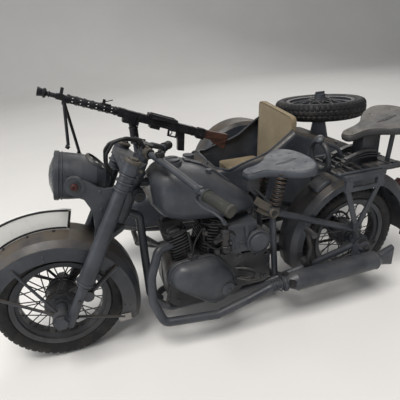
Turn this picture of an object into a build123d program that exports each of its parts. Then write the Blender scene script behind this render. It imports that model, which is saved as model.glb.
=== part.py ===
from build123d import *
import os
from math import sin, cos, radians

# A one-sixth scale display motorcycle with a sidecar, built as separate named pieces.
# While it is drawn: the rear axle stands over X = 0, the bike's nose points along -X, its left
# side along -Y, the sidecar is at +Y and the floor is Z = 0.  At the end everything is moved so
# that the origin is the middle of the whole part's box, on the floor.

# ---------------------------------------------------------------- driving dimensions (mm)
WHEELBASE = 270.0        # rear axle to front axle
TYRE_R = 51.0            # outside radius of every tyre
TYRE_HALF = 9.5          # half the width of a tyre
RIM_SEAT_R = 35.6        # where the bead sits
HUB_HALF = 12.0          # half the length of a hub
SPOKES = 36
SPOKE_R = 0.45
AXLE_R = 3.0
RUNNING = 0.05           # running clearance on radius
END_PLAY = 0.4           # gap each side of a hub
RAKE = 28.2              # lean of the fork from upright, degrees
LEG_BEHIND = 7.1         # fork leg axis behind the wheel's centre
STEM_BEHIND = 18.1       # steering axis behind the wheel's centre
LEG_Y = 26.0             # fork leg axis from the bike's centre plane
COVER_R = 4.7            # radius of the fork covers at the top
COVER_LOW_R = 6.5        # and at their lower end
COVER_FOOT = 32.0        # lower end of the covers, along the fork from the axle
FORK_TOP = 124.0         # top of the fork covers, along the fork from the axle
YOKE_LOW = 72.0          # underside of the lower yoke, along the fork from the axle
YOKE_THICK = 6.0
STEM_R = 4.0
HEAD_R = 7.5             # outside of the head tube
FRONT_GUARD_R = 63.0     # crown of the front mudguard
FRONT_GUARD_HALF = 19.5
REAR_GUARD_R = 68.5
REAR_GUARD_HALF = 15.0
GUARD_WALL = 1.3
SIDE_GUARD_R = 68.5
SIDE_GUARD_HALF = 18.5
SIDE_GUARD_UP = 10.0     # the sidecar mudguard's centre above its axle
TUBE_R = 3.0             # frame tubes
MAIN_TUBE_R = 3.4        # top tube and down tube
STAY_Y = 21.6            # rear stays from the centre plane
RAIL_Y = 14.0            # cradle rails from the centre plane
RAIL_Z = 26.0
ENGINE_BEHIND = 118.0    # engine's middle behind the front axle
TANK_BEHIND = 81.0       # front of the tank behind the front axle
TANK_LONG = 86.0
LAMP_R = 17.6            # headlamp rim
LAMP_TILT = 11.7         # the lens looks up by this, degrees
GRIP_X = -153.0          # end of a handlebar grip
GRIP_Y = 81.0
GRIP_Z = 142.2
BAR_R = 2.5
BAR_UP = 137.0           # middle of the handlebar, along the fork from the axle
CABLE_R = 1.2
SADDLE_HALF = 32.0       # half the width of both saddles
SADDLE_WALL = 1.8
PIPE_R = 3.6             # exhaust pipe
SILENCER_R = 8.6
SILENCER_Y = -36.7
SILENCER_Z = 39.0
SIDE_WHEEL_X = -24.0     # sidecar axle, ahead of the rear axle
SIDE_WHEEL_Y = 208.0
TUB_Y = 108.0            # centre plane of the sidecar's tub
TUB_WALL = 2.0
SEAT_Z = 84.0            # top of the sidecar's seat shelf
CHASSIS_Z = 38.0         # sidecar chassis tubes
CHASSIS_HALF = 34.0      # its side tubes from the tub's centre plane
SPARE_X = 39.0
SPARE_Y = 112.0
SPARE_Z = 153.0
SPARE_ROLL = -3.0        # lean of the spare wheel about the part's length, degrees
POST_BEHIND = 89.0       # gun post behind the front axle
POST_R = 2.6
POST_TOP = 150.0
GUN_RISE = 21.0          # the gun points up by this much, degrees
GUN_Z = 170.0            # bore line over the post

FRONT_X = -WHEELBASE
AXLE_Z = TYRE_R
FRONT = Vector(FRONT_X, 0, AXLE_Z)
ALONG = Vector(sin(radians(RAKE)), 0, cos(radians(RAKE)))
BEHIND = Vector(cos(radians(RAKE)), 0, -sin(radians(RAKE)))
ENGINE_X = FRONT_X + ENGINE_BEHIND
TANK_X = FRONT_X + TANK_BEHIND
GUN_Y = TUB_Y + 2.0
POST_X = FRONT_X + POST_BEHIND
HUB_SIDE = HUB_HALF + END_PLAY


# ---------------------------------------------------------------- helpers
def fork_pt(up, behind, y=0.0):
    """Point that far up the fork and behind the wheel's centre."""
    return FRONT + ALONG * up + BEHIND * behind + Vector(0, y, 0)


def rod(p, q, r, r2=None):
    """Round bar from p to q, tapering to r2."""
    p, q = Vector(*p), Vector(*q)
    foot = Plane(origin=p, z_dir=q - p)
    low = (Align.CENTER, Align.CENTER, Align.MIN)
    if r2 is None:
        return foot * Cylinder(r, (q - p).length, align=low)
    return foot * Cone(r, r2, (q - p).length, align=low)


def tube(points, r, bend=6.0):
    """Bent bar: straight runs joined by arcs."""
    pts = [Vector(*p) for p in points]
    path = FilletPolyline(*pts, radius=bend) if len(pts) > 2 else Line(*pts)
    return sweep(Plane(origin=path @ 0, z_dir=path % 0) * Circle(r), path=path)


def turned(profile):
    """Closed (radius, along) points turned about Z."""
    return revolve(Plane.XZ * make_face(Polyline(*profile, close=True)), Axis.Z)


def along_y(shape, x, y, z):
    """Lay a part turned about Z so that its axis is Y."""
    return Pos(x, y, z) * Rot(90, 0, 0) * shape


def cross_bar(x, y0, y1, z, r, r2=None):
    """Round bar along Y."""
    return rod((x, y0, z), (x, y1, z), r, r2)


def box(x0, x1, y0, y1, z0, z1):
    return Pos((x0 + x1) / 2, (y0 + y1) / 2, (z0 + z1) / 2) * Box(x1 - x0, y1 - y0, z1 - z0)


def slab(points, y0, y1):
    """Plate with an (x, z) outline between two y."""
    face = make_face(Polyline(*[(x, y0, z) for x, z in points], close=True))
    return extrude(face, amount=abs(y1 - y0), dir=(0, 1 if y1 > y0 else -1, 0))


def fused(items):
    items = list(items)
    return items[0] + items[1:] if len(items) > 1 else items[0]


def rounded(width, height, radius):
    return RectangleRounded(width, height, min(radius, 0.48 * width, 0.48 * height))


def guard_at(cx, cy, cz, r, half, skirt, low, high, wall=GUARD_WALL):
    """Mudguard about Y: crown radius r, sides down to radius r - skirt, from angle low to high.
    Angle 0 points to +X and 90 up."""
    inner = half - wall
    out = [(half, r - skirt), (half, r - 6.0), (half - 4.5, r - 1.4), (0, r),
           (4.5 - half, r - 1.4), (-half, r - 6.0), (-half, r - skirt)]
    back = [(-inner, r - skirt), (-inner, r - 6.4), (4.5 - inner, r - wall - 1.5), (0, r - wall),
            (inner - 4.5, r - wall - 1.5), (inner, r - 6.4), (inner, r - skirt)]
    ca, sa = cos(radians(low)), sin(radians(low))
    face = make_face(Polyline(*[(rr * ca, y, rr * sa) for y, rr in out + back], close=True))
    return Pos(cx, cy, cz) * revolve(face, Axis((0, 0, 0), (0, -1, 0)), high - low)


# ---------------------------------------------------------------- wheels, made once, axis Z
def make_tyre():
    r, h, s = TYRE_R, TYRE_HALF, RIM_SEAT_R
    wide, bulge, shoulder = 6.6, (r - 7.5, h), (r - 1.8, h - 1.9)
    bead = s + 2.9
    edges = [Line((s, -wide), (bead, -wide)),
             ThreePointArc((bead, -wide), (bulge[0], -bulge[1]), (shoulder[0], -shoulder[1])),
             ThreePointArc((shoulder[0], -shoulder[1]), (r, 0), shoulder),
             ThreePointArc(shoulder, bulge, (bead, wide)),
             Line((bead, wide), (s, wide)), Line((s, wide), (s, -wide))]
    return revolve(Plane.XZ * make_face(edges), Axis.Z)


def make_wheel():
    """Rim, laced wire spokes and a full-width hub in one piece."""
    s, lip = RIM_SEAT_R, 6.65
    half = [(s + 2.8, lip + 1.4), (s + 2.8, lip), (s, lip), (s, 5.0), (s - 2.4, 3.6)]
    inner = [(s - 3.6, 4.0), (s - 1.3, 5.4), (s - 1.1, lip + 1.0), (s + 1.8, lip + 1.4)]
    rim = turned([(a, -b) for a, b in half] + half[::-1] + inner[::-1] + [(a, -b) for a, b in inner])
    bore, end = AXLE_R + RUNNING, HUB_HALF
    side = [(7, end), (7, end - 1.4), (10.5, end - 1.4), (10.5, end - 3), (12.5, end - 5.6)]
    hub = turned([(bore, -end)] + [(a, -b) for a, b in side] + side[::-1] + [(bore, end)])
    wires = []
    for i in range(SPOKES):
        a, to = 360 / SPOKES * i, 1 if i % 2 else -1
        lean = 46 if (i // 2) % 2 else -46
        p = Vector(9.4 * cos(radians(a + lean)), 9.4 * sin(radians(a + lean)), to * (end - 2.2))
        q = Vector((s - 3.0) * cos(radians(a)), (s - 3.0) * sin(radians(a)), to * 1.4)
        wires.append(rod(p, q, SPOKE_R))
    return fused([rim, hub] + wires)


# ---------------------------------------------------------------- where the lamp stands
EAR_Y = 18.4                                        # inner face of the fork's ears
LAMP_OUT = Vector(-cos(radians(LAMP_TILT)), 0, sin(radians(LAMP_TILT)))
LAMP_CENTRE = fork_pt(99.6, -34.2)
LAMP_PIVOT = LAMP_CENTRE - LAMP_OUT * 12
LAMP_FRAME = Plane(origin=LAMP_CENTRE, x_dir=(0, 1, 0), z_dir=LAMP_OUT)
DIAL_R = 9.3
DIAL_TILT = 48.7                                    # the dial faces back to the rider, degrees from upright
DIAL_FRAME = Plane(origin=LAMP_CENTRE + Vector(29, 0, 4.6), x_dir=(0, 1, 0),
                   z_dir=(sin(radians(DIAL_TILT)), 0, cos(radians(DIAL_TILT))))


# ---------------------------------------------------------------- bike frame
JOINT_X, JOINT_Y, JOINT_Z = -88.3, 15.0, 98.4       # where the stays and the saddle post meet
RACK_FOOT = (-9.0, 71.0)                            # (x, z) of the rack struts' foot on the stays
RACK_X0, RACK_X1, RACK_Z = -28.3, 9.9, 110.2        # carrier frames


def top_tube_points():
    return [fork_pt(112, STEM_BEHIND), (FRONT_X + 94, 0, 136), (JOINT_X - 24, 0, JOINT_Z + 6.1),
            (JOINT_X, 0, JOINT_Z)]


def make_frame():
    down_x = FRONT_X + 71
    head = rod(fork_pt(YOKE_LOW + YOKE_THICK + 1.2, STEM_BEHIND), fork_pt(FORK_TOP - 0.8, STEM_BEHIND), HEAD_R)
    parts = [head, tube(top_tube_points(), MAIN_TUBE_R, 12),
             tube([fork_pt(88, STEM_BEHIND), (down_x, 0, 112), (down_x, 0, RAIL_Z + 8), (down_x + 9, 0, RAIL_Z)],
                  MAIN_TUBE_R, 6)]
    for s in (-1, 1):
        stay = s * STAY_Y
        parts += [
            tube([(down_x + 3, s * 2, RAIL_Z + 2), (down_x + 14, s * RAIL_Y, RAIL_Z), (-100, s * RAIL_Y, RAIL_Z),
                  (-63, stay, 38), (0, stay, AXLE_Z)], TUBE_R, 8),
            tube([(JOINT_X - 3, s * 2, JOINT_Z), (JOINT_X, s * JOINT_Y, JOINT_Z), (-8, stay, AXLE_Z + 16),
                  (-1, stay, AXLE_Z)], TUBE_R, 6),
            rod((JOINT_X, s * RAIL_Y, JOINT_Z), (JOINT_X + 4, s * RAIL_Y, RAIL_Z + 3.4), 2.8),
            along_y(Cylinder(8.5, 4.2), 0, stay, AXLE_Z),
            rod((RACK_FOOT[0], s * 19.6, RACK_FOOT[1] - 1), (RACK_FOOT[0], s * 27.0, RACK_FOOT[1] + 1), 3.2),
            cross_bar(0, s * 26.0, s * 23.4, AXLE_Z, 6.5),
            cross_bar(0, s * HUB_SIDE, s * 20, AXLE_Z, 4.6),
            along_y(extrude(RegularPolygon(5.2, 6), 1.8, both=True), 0, s * 30.2, AXLE_Z)]
        for x in (RACK_X0 + 3, RACK_X1 - 3):
            parts.append(rod((RACK_FOOT[0], s * 25.5, RACK_FOOT[1] + 1), (x, s * 27.2, RACK_Z - 0.6), 1.7))
    parts += [cross_bar(JOINT_X, -JOINT_Y - 1.5, JOINT_Y + 1.5, JOINT_Z, 4.2),
              cross_bar(JOINT_X + 4, -RAIL_Y, RAIL_Y, RAIL_Z + 3, 2.8),
              cross_bar(0, -32, 32, AXLE_Z, AXLE_R)]
    # horn on the left of the head
    horn = fork_pt(106, STEM_BEHIND + 6.8)
    parts += [cross_bar(horn.X, -3, -13, horn.Z, 4.6), cross_bar(horn.X, -13, -14.2, horn.Z, 3.6)]
    bore = rod(fork_pt(YOKE_LOW, STEM_BEHIND), fork_pt(FORK_TOP + 4, STEM_BEHIND), STEM_R + RUNNING)
    return fused(parts) - bore


def make_fork():
    parts = []
    for s in (-1, 1):
        leg = lambda up, m=LEG_BEHIND: fork_pt(up, m, s * LEG_Y)
        parts += [rod(leg(-4), leg(COVER_FOOT + 4), 3.7),
                  rod(leg(COVER_FOOT), leg(COVER_FOOT + 3), COVER_LOW_R - 1.2, COVER_LOW_R),
                  rod(leg(COVER_FOOT + 3), leg(FORK_TOP - 12), COVER_LOW_R, COVER_R),
                  rod(leg(FORK_TOP - 13), leg(FORK_TOP), COVER_R + 0.5),
                  rod(leg(FORK_TOP - 13), leg(FORK_TOP - 11.6), COVER_R + 0.9),
                  rod(leg(FORK_TOP - 7), leg(FORK_TOP - 5.6), COVER_R + 0.9),
                  rod(leg(FORK_TOP), leg(FORK_TOP + 8), COVER_R + 1.1),
                  rod(leg(FORK_TOP + 8), leg(FORK_TOP + 10), 4.2),
                  cross_bar(FRONT_X, s * (LEG_Y - 2.0), s * (LEG_Y + 3.0), AXLE_Z, 6.4),
                  rod(leg(0, 0), leg(0), 3.0)]
        # ear that carries the lamp: a sheet that sweeps out of the cover to the lamp's pivot
        ear = [fork_pt(u, m) for u, m in ((101, -29), (106.4, -24.7), (108.1, -19.1), (107.7, -13.5), (106.5, -7.6),
                                          (106.8, -2.7), (112, LEG_BEHIND), (62, LEG_BEHIND), (64, 3.4), (73, 1.4),
                                          (81.5, -1.4), (90.8, -8.0), (95.4, -13.7), (95.6, -21))]
        parts.append(slab([(p.X, p.Z) for p in ear], s * EAR_Y, s * (EAR_Y + 3.2)))
        parts.append(cross_bar(LAMP_PIVOT.X, s * EAR_Y, s * (EAR_Y + 4.4), LAMP_PIVOT.Z, 6.4))
        parts += [along_y(extrude(RegularPolygon(5.2, 6), 1.8, both=True), FRONT_X, s * (LEG_Y + 4.8), AXLE_Z),
                  cross_bar(FRONT_X, s * HUB_SIDE, s * 22.2, AXLE_Z, 4.6)]
    # the yokes: flat plates round both legs and the stem
    for up, thick, leg_r, stem_r in ((YOKE_LOW, YOKE_THICK, COVER_R, 8.0), (FORK_TOP + 0.4, 5.6, COVER_R + 1.4, 6.4)):
        rings = [CenterArc((LEG_BEHIND, s * LEG_Y), leg_r, 0, 360) for s in (-1, 1)]
        outline = make_hull(rings + [CenterArc((STEM_BEHIND, 0), stem_r, 0, 360)])
        parts.append(extrude(Plane(origin=fork_pt(up, 0), x_dir=BEHIND, z_dir=ALONG) * outline, thick))
    stem = lambda a, b, r: rod(fork_pt(a, STEM_BEHIND), fork_pt(b, STEM_BEHIND), r)
    parts += [stem(YOKE_LOW, FORK_TOP + 7, STEM_R), stem(FORK_TOP + 6, FORK_TOP + 10, 6.0),
              cross_bar(FRONT_X, -LEG_Y - 5, LEG_Y + 5, AXLE_Z, AXLE_R),
              cross_bar(FRONT_X, HUB_SIDE + 0.6, HUB_SIDE + 2.6, AXLE_Z, 12.0)]
    return fused(parts)


# ---------------------------------------------------------------- lamp and handlebar
SHELL = [(0, -38), (6, -37), (11, -33.5), (14.4, -27), (16.2, -17), (LAMP_R - 0.8, -8), (LAMP_R - 0.7, -1.5)]


def lamp_body():
    """The lamp's outer form, closed."""
    return LAMP_FRAME * turned(SHELL + [(0, -1.5)])


def make_headlamp():
    """Hollow shell with a rim, its two pivots and a round hole where the dial sits."""
    skin = SHELL + [(LAMP_R, -1.5), (LAMP_R, 1.2), (LAMP_R - 1.8, 1.2), (LAMP_R - 2.4, -8), (14.4, -16.6),
                    (12.8, -26), (9.8, -31.8), (5.4, -35), (0, -36)]
    pivots = [cross_bar(LAMP_PIVOT.X, s * 15.4, s * EAR_Y, LAMP_PIVOT.Z, 3.2) for s in (-1, 1)]
    hole = DIAL_FRAME * (Pos(0, 0, 5) * Cylinder(DIAL_R, 20))
    return fused([LAMP_FRAME * turned(skin)] + pivots) - hole


def make_lens():
    r = LAMP_R - 2.0
    return LAMP_FRAME * turned([(0, 5.2), (7, 4.4), (12.5, 2.4), (r, 0.2), (r, -1.6), (12.4, 0.6), (6.8, 2.8), (0, 3.6)])


def make_dial():
    """Speedometer let into the slanted hole, its rim standing a little proud."""
    return DIAL_FRAME * turned([(0, -5), (DIAL_R, -5), (DIAL_R, 1.2), (DIAL_R - 1.4, 1.2), (DIAL_R - 2.2, 0.2), (0, 0.2)])


def bar_points(s):
    mid = fork_pt(BAR_UP, STEM_BEHIND)
    return [(mid.X, 0, mid.Z), (mid.X + 2, s * 9, mid.Z + 1), (mid.X + 12, s * 30, mid.Z - 4.6),
            (GRIP_X - 9.5, s * (GRIP_Y - 22), GRIP_Z + 4.6), (GRIP_X - 0.9, s * (GRIP_Y - 2), GRIP_Z + 0.4)]


def make_handlebar():
    riser = rod(fork_pt(FORK_TOP + 10, STEM_BEHIND), fork_pt(BAR_UP, STEM_BEHIND), 4.6)
    return fused([riser] + [tube(bar_points(s), BAR_R, 7) for s in (-1, 1)])


def make_cables(solids):
    """Two control cables that loop from the back of the lamp over to the handlebar."""
    cables = []
    for y, lift in ((-6, 0), (7, -4)):
        route = [(112.6, 3.0), (118, -4.2), (127, -7.6), (137 + lift, -6), (143 + lift, 1.4), (145.4 + lift, 11), (138, 19.6)]
        bend = [5.5] * (len(route) - 2)
        path = FilletPolyline(*[fork_pt(up, behind, y) for up, behind in route], radius=bend)
        cable = sweep(Plane(origin=path @ 0, z_dir=path % 0) * Circle(CABLE_R), path=path)
        for solid in solids:
            cable -= solid
        cables.append(cable)
    return cables


def make_grips():
    grips = []
    for s in (-1, 1):
        end = Vector(GRIP_X, s * GRIP_Y, GRIP_Z)
        start = Vector(GRIP_X - 8.6, s * (GRIP_Y - 20), GRIP_Z + 4.2)
        out = (end - start).normalized()
        grips.append(rod(start, end, BAR_R + 1.0) + rod(end, end + out * 1.4, BAR_R + 1.7))
    return grips


# ---------------------------------------------------------------- front mudguard and plate
def make_front_guard():
    parts = [guard_at(FRONT_X, 0, AXLE_Z, FRONT_GUARD_R, FRONT_GUARD_HALF, 16.5, -22, 152)]
    top = FRONT_GUARD_R - 1.2
    c = fork_pt((top - 2 + YOKE_LOW) / 2, 12.5)
    parts.append(Plane(origin=c, x_dir=BEHIND, z_dir=ALONG) * Box(9, 14, YOKE_LOW - top + 2))
    for s in (-1, 1):
        for a, r in ((146, FRONT_GUARD_R - 11), (118, FRONT_GUARD_R - 11), (-20, FRONT_GUARD_R - 14)):
            end = (FRONT_X + r * cos(radians(a)), s * (FRONT_GUARD_HALF + 0.7), AXLE_Z + r * sin(radians(a)))
            parts.append(rod((FRONT_X, s * (LEG_Y - 2.9), AXLE_Z), end, 1.1))
        parts.append(cross_bar(FRONT_X, s * (LEG_Y - 3.7), s * (LEG_Y - 2.1), AXLE_Z, 5.4))
        # brace from a ring behind the fork leg up to the crown
        ring = fork_pt(24, 12.6)
        crown = FRONT_GUARD_R - 6.5
        side = s * (FRONT_GUARD_HALF + 0.4)
        parts += [cross_bar(ring.X, s * (LEG_Y - 3.6), s * (LEG_Y + 1.6), ring.Z, 4.4),
                  rod((ring.X, s * (LEG_Y - 1.8), ring.Z),
                      (FRONT_X + crown * cos(radians(34)), side, AXLE_Z + crown * sin(radians(34))), 1.8)]
    return fused(parts)


def make_plate():
    """Curved plate that stands along the mudguard's crown."""
    low, high, a0, a1, half = FRONT_GUARD_R, FRONT_GUARD_R + 16.3, 74, 128, 0.7
    face = make_face([CenterArc((0, 0), low, a0, a1 - a0), CenterArc((0, 0), high, a0, a1 - a0)]
                     + [Line((low * cos(radians(a)), low * sin(radians(a))),
                             (high * cos(radians(a)), high * sin(radians(a)))) for a in (a0, a1)])
    stand = Plane(origin=(FRONT_X, 0, AXLE_Z), x_dir=(1, 0, 0), z_dir=(0, -1, 0))
    return extrude(stand * face, half, both=True)


# ---------------------------------------------------------------- tank and saddles
# behind the tank's front, half width, underside, top
TANK = [(0.0, 15.0, 121.0, 145.5), (8.0, 24.5, 111.5, 151.0), (22.0, 28.5, 106.5, 153.4),
        (43.0, 27.5, 103.2, 146.0), (64.0, 21.0, 101.0, 129.6), (TANK_LONG, 8.0, 101.2, 111.0)]


def make_tank():
    rings = []
    for back, half, low, high in TANK:
        ring = Plane(origin=(TANK_X + back, 0, (low + high) / 2), x_dir=(0, 1, 0), z_dir=(1, 0, 0))
        rings.append(ring * rounded(2 * half, high - low, 0.46 * min(2 * half, high - low)))
    gap = MAIN_TUBE_R + 0.6
    tunnel = tube(top_tube_points(), gap, 12)
    line = [(p[0], p[2]) for p in map(tuple, top_tube_points()[1:3])]
    slot = slab([(FRONT_X + 55, 145), line[0], line[1], (JOINT_X + 8, JOINT_Z - 4), (JOINT_X + 8, 60), (FRONT_X + 55, 60)],
                -gap, gap)
    head = rod(fork_pt(YOKE_LOW, STEM_BEHIND), fork_pt(FORK_TOP + 10, STEM_BEHIND), HEAD_R + 1.5)
    return loft(rings) - tunnel - slot - head


def make_tank_fittings(tank):
    """Two filler caps, the long lid and a small neck, each seated on the tank's skin."""
    x = TANK_X
    cap = rod((x + 18, -7.6, 142), (x + 18.6, -8, 155.4), 7.8) + rod((x + 18.6, -8, 155.4), (x + 18.8, -8.1, 156.6), 6.2)
    small = rod((x + 36, 11, 136), (x + 37, 11.4, 152.0), 4.6)
    lid = slab([(x + 30, 153.0), (x + 43, 147.8), (x + 55, 139.6), (x + 67, 128.8), (x + 67, 120), (x + 30, 143)], -4.0, 4.0)
    neck = rod((x + 44, -12.4, 126), (x + 46, -13, 145.6), 2.2)
    return [piece - tank for piece in (cap, small, lid, neck)]


# front end, rear end, height of the top, nose-down tilt, lean about the part's length
SADDLES = {"front_saddle": (-109.0, -48.0, 136.5, 6.0, 0.0), "rear_saddle": (-13.0, 58.0, 160.0, 12.0, 5.0)}
PAN_DEEP = 6.6
SPRING_Y = 14.0                                     # the front saddle's coils from the centre plane
SADDLE_ROUND = 0.76                                 # the round back's length, as a share of its width


def saddle_place(name):
    """Where a saddle's own frame stands: zero height is its top face."""
    x0, x1, z, tilt, lean = SADDLES[name]
    c = (x0 + x1) / 2
    return Pos(c, 0, z) * Rot(lean, -tilt, 0) * Pos(-c, 0, 0)


def pan_outline(x0, x1, less):
    nose, half = 7.0 - less, SADDLE_HALF - less
    back = SADDLE_HALF * SADDLE_ROUND
    return make_hull([CenterArc((x0 + 7.0, 0), nose, 0, 360), Pos(x1 - back, 0, 0) * Ellipse(back - less, half).edge()])


def make_saddle(name):
    """Pressed pan: round nose, wide round back, open underneath."""
    x0, x1 = SADDLES[name][:2]
    solid = extrude(pan_outline(x0, x1, 0), PAN_DEEP)
    solid = fillet(solid.faces().sort_by(Axis.Z)[-1].edges(), 3.2)
    hollow = extrude(pan_outline(x0, x1, SADDLE_WALL), PAN_DEEP - SADDLE_WALL)
    hollow = fillet(hollow.faces().sort_by(Axis.Z)[-1].edges(), 2.0)
    slit = Pos(x1 - SADDLE_HALF * SADDLE_ROUND + 2, 0, 5) * Box(19, 1.4, 12)
    return saddle_place(name) * Pos(0, 0, -PAN_DEEP) * (solid - hollow - slit)


def under_pan(name, piece):
    """A piece that carries a saddle, cut off at the pan's ceiling."""
    return piece - saddle_place(name) * box(-400, 400, -100, 100, -SADDLE_WALL, 100)


def make_front_spring():
    """Two leaning coils on seats by the joint, the nose bracket and its links."""
    name, coil_r, wire, turns = "front_saddle", 3.7, 0.8, 8
    top = SADDLES[name][2]
    nose = slab([(JOINT_X - 19.7, top - 16.5), (JOINT_X - 16.7, top + 2), (JOINT_X - 8.7, top + 2),
                 (JOINT_X - 7.7, JOINT_Z + 14.6), (JOINT_X - 2.7, JOINT_Z + 5.6), (JOINT_X - 8.7, JOINT_Z + 4.6),
                 (JOINT_X - 12.7, JOINT_Z + 14.6)], -5, 5)
    parts = [under_pan(name, nose), cross_bar(JOINT_X - 5, -5, 5, JOINT_Z + 4.4, 2.4)]
    for s in (-1, 1):
        foot = Vector(JOINT_X + 3, s * SPRING_Y, JOINT_Z + 4.6)
        head = Vector(JOINT_X + 9.5, s * SPRING_Y, top - 3)
        parts += [under_pan(name, rod(foot, head + (head - foot) * 0.2, 1.2)), rod(foot - Vector(0, 0, 3.6), foot, 4.4),
                  rod((JOINT_X - 14, s * 4, JOINT_Z + 22), (JOINT_X + 1, s * (SPRING_Y - 1), JOINT_Z + 5), 1.2)]
        for k in range(turns):
            at = Plane(origin=foot + (head - foot) * ((k + 0.6) / (turns + 1.2)), z_dir=head - foot)
            parts.append(at * (Torus(coil_r, wire) + Cylinder(coil_r, 0.5)))
    return fused(parts)


# ---------------------------------------------------------------- engine
def make_case():
    x = ENGINE_X
    body = box(x - 34, x + 34, -20, 20, RAIL_Z + 4.2, 72)
    body = fillet(body.edges().filter_by(Axis.Y), 9)
    gear = box(x + 28, x + 60, -18, 18, RAIL_Z + 6, 66)
    gear = fillet(gear.edges().filter_by(Axis.Y), 7)
    sump = box(x - 20, x + 24, -10.4, 10.4, RAIL_Z - 3, RAIL_Z + 6)
    cover = cross_bar(x - 6, 18, 27, 50, 15) + cross_bar(x - 6, 27, 29, 50, 11)
    feet = [box(x + k - 4, x + k + 4, -RAIL_Y - 2, RAIL_Y + 2, RAIL_Z + TUBE_R, RAIL_Z + 6) for k in (-26, 26)]
    return fused([body, gear, sump, cover] + feet)


FIN_COUNT = 10


def make_cylinders():
    x, parts = ENGINE_X, []
    for foot, head in ((-16, -23), (6, 13)):
        p, q = Vector(x + foot, 0, 70), Vector(x + head, 0, 99)
        lean = (q - p).normalized()
        parts.append(rod(p, q, 8.6))
        for k in range(FIN_COUNT):
            at = Plane(origin=p + (q - p) * ((k + 1.0) / (FIN_COUNT + 1)), x_dir=(0, 1, 0), z_dir=lean)
            parts.append(at * extrude(RectangleRounded(35, 19.5, 6), 0.5, both=True))
        top = Plane(origin=q - lean * 1.5, x_dir=(0, 1, 0), z_dir=lean)
        parts.append(top * extrude(RectangleRounded(26, 16, 5), 1.6, both=True))
    # carburettor on the left, its inlet between the cylinders
    parts += [rod((x + 8, -10, 86), (x + 17, -18, 86), 3.6), rod((x + 18, -19, 74), (x + 18, -19, 79), 5.2),
              rod((x + 18, -19, 79), (x + 18, -19, 92), 4.4), rod((x + 18, -19, 92), (x + 18, -19, 95.4), 2.8)]
    return fused(parts)


def make_primary():
    """Oval chain cover on the left: small circle at the crankshaft, big one at the clutch."""
    small, top, big, out = (ENGINE_X - 20.0, 62.0, 13.0), (ENGINE_X - 0.5, 60.5, 15.0), (ENGINE_X + 5.5, 47.5, 18.0), 14
    face = make_hull([CenterArc(c[:2], c[2], 0, 360) for c in (small, top, big)])
    cover = extrude(Plane(origin=(0, -20, 0), x_dir=(1, 0, 0), z_dir=(0, -1, 0)) * face, out)
    cover = fillet(cover.faces().sort_by(Axis.Y)[0].edges(), 4.2)
    return cover + cross_bar(big[0], -33, -36.4, big[1], 13.5, 11.5)


def make_air_box():
    x = ENGINE_X + 32
    case = box(x - 11.5, x + 11.5, -22, 12, 71, 96)
    case = fillet(case.edges().filter_by(Axis.Y), 3)
    lid = box(x - 12.5, x + 12.5, -23, 13, 95, 98)
    disc = cross_bar(x + 13.8, -12, -25.2, 78.8, 10.4) + cross_bar(x + 13.8, -25.2, -26.6, 78.8, 8.2)
    foot = box(x - 6, x + 6, -10, 10, 62, 73)
    return fused([case, lid, disc, foot])


def make_header():
    x, y, z = ENGINE_X, SILENCER_Y, SILENCER_Z
    return tube([(x - 27, -14.5, 88), (x - 38, -19, 88), (x - 47, -24.5, 68), (x - 48.5, -27, 46), (x - 42, -33, RAIL_Z + 2),
                 (x + 2, y - 1, RAIL_Z), (x + 30, y, RAIL_Z + 6), (x + 52, y, z), (-84, y, z)], PIPE_R, 6.5)


def make_silencer(frame):
    """Body along X with a clamp in front, a fishtail behind and a hanger on the frame."""
    bore = PIPE_R + RUNNING
    body = turned([(bore, -6), (5.0, -6), (5.0, 0), (SILENCER_R, 7), (SILENCER_R, 90), (5.2, 96), (0, 96), (0, 3), (bore, 3)])
    body = Pos(-84, SILENCER_Y, SILENCER_Z) * Rot(0, 90, 0) * body
    round_end = Plane(origin=(6, SILENCER_Y, SILENCER_Z), x_dir=(0, 1, 0), z_dir=(1, 0, 0)) * RectangleRounded(9, 9, 4.2)
    flat_end = Plane(origin=(25, SILENCER_Y, SILENCER_Z + 1), x_dir=(0, 1, 0), z_dir=(1, 0, 0)) * RectangleRounded(6, 21, 2.8)
    clamp = Pos(-88, SILENCER_Y, SILENCER_Z) * Rot(0, 90, 0) * turned([(4.4, -1.2), (6.0, -1.2), (6.0, 1.2), (4.4, 1.2)])
    hanger = slab([(-11, 42), (-5, 42), (-3, 54), (-8, 54)], -31.6, -25.0)
    return fused([body, loft([round_end, flat_end]), clamp, hanger - frame])


# ---------------------------------------------------------------- rear end
def make_rack():
    """Carrier over the rear mudguard: slats, saddle post block, springs and a grab ring."""
    z, half = RACK_Z + 12.2, 24.2
    side = [box(-32, 34, s * half - 1.3, s * half + 1.3, z, z + 2.4) for s in (-1, 1)]
    slats = [box(x, x + 3, -half, half, z, z + 2.4) for x in (-32, -14, 4, 31)]
    top = SADDLES["rear_saddle"][2] + 8.0
    block = under_pan("rear_saddle", box(4, 22, -6.6, 6.6, z + 1.0, top))
    springs = [under_pan("rear_saddle", rod((27, s * 13, z + 1.0), (31, s * 13, top), 2.0)) for s in (-1, 1)]
    ring = [Pos(-37, -3, z + 15) * Rot(0, 84, 16) * Torus(12.5, 2.0)]
    ring += [rod((-31, s * 9, z + 1.2), (-37 - s * 3, -3 + s * 10.4, z + 8.7), 1.5) for s in (-1, 1)]
    base = box(4, 36, -15.6, 15.6, z, z + 2.4)
    centre = box(-6, 6, -5, 5, REAR_GUARD_R + AXLE_Z - 1.0, z + 0.5)
    return fused(side + slats + [block, base] + springs + ring + [centre])


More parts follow.
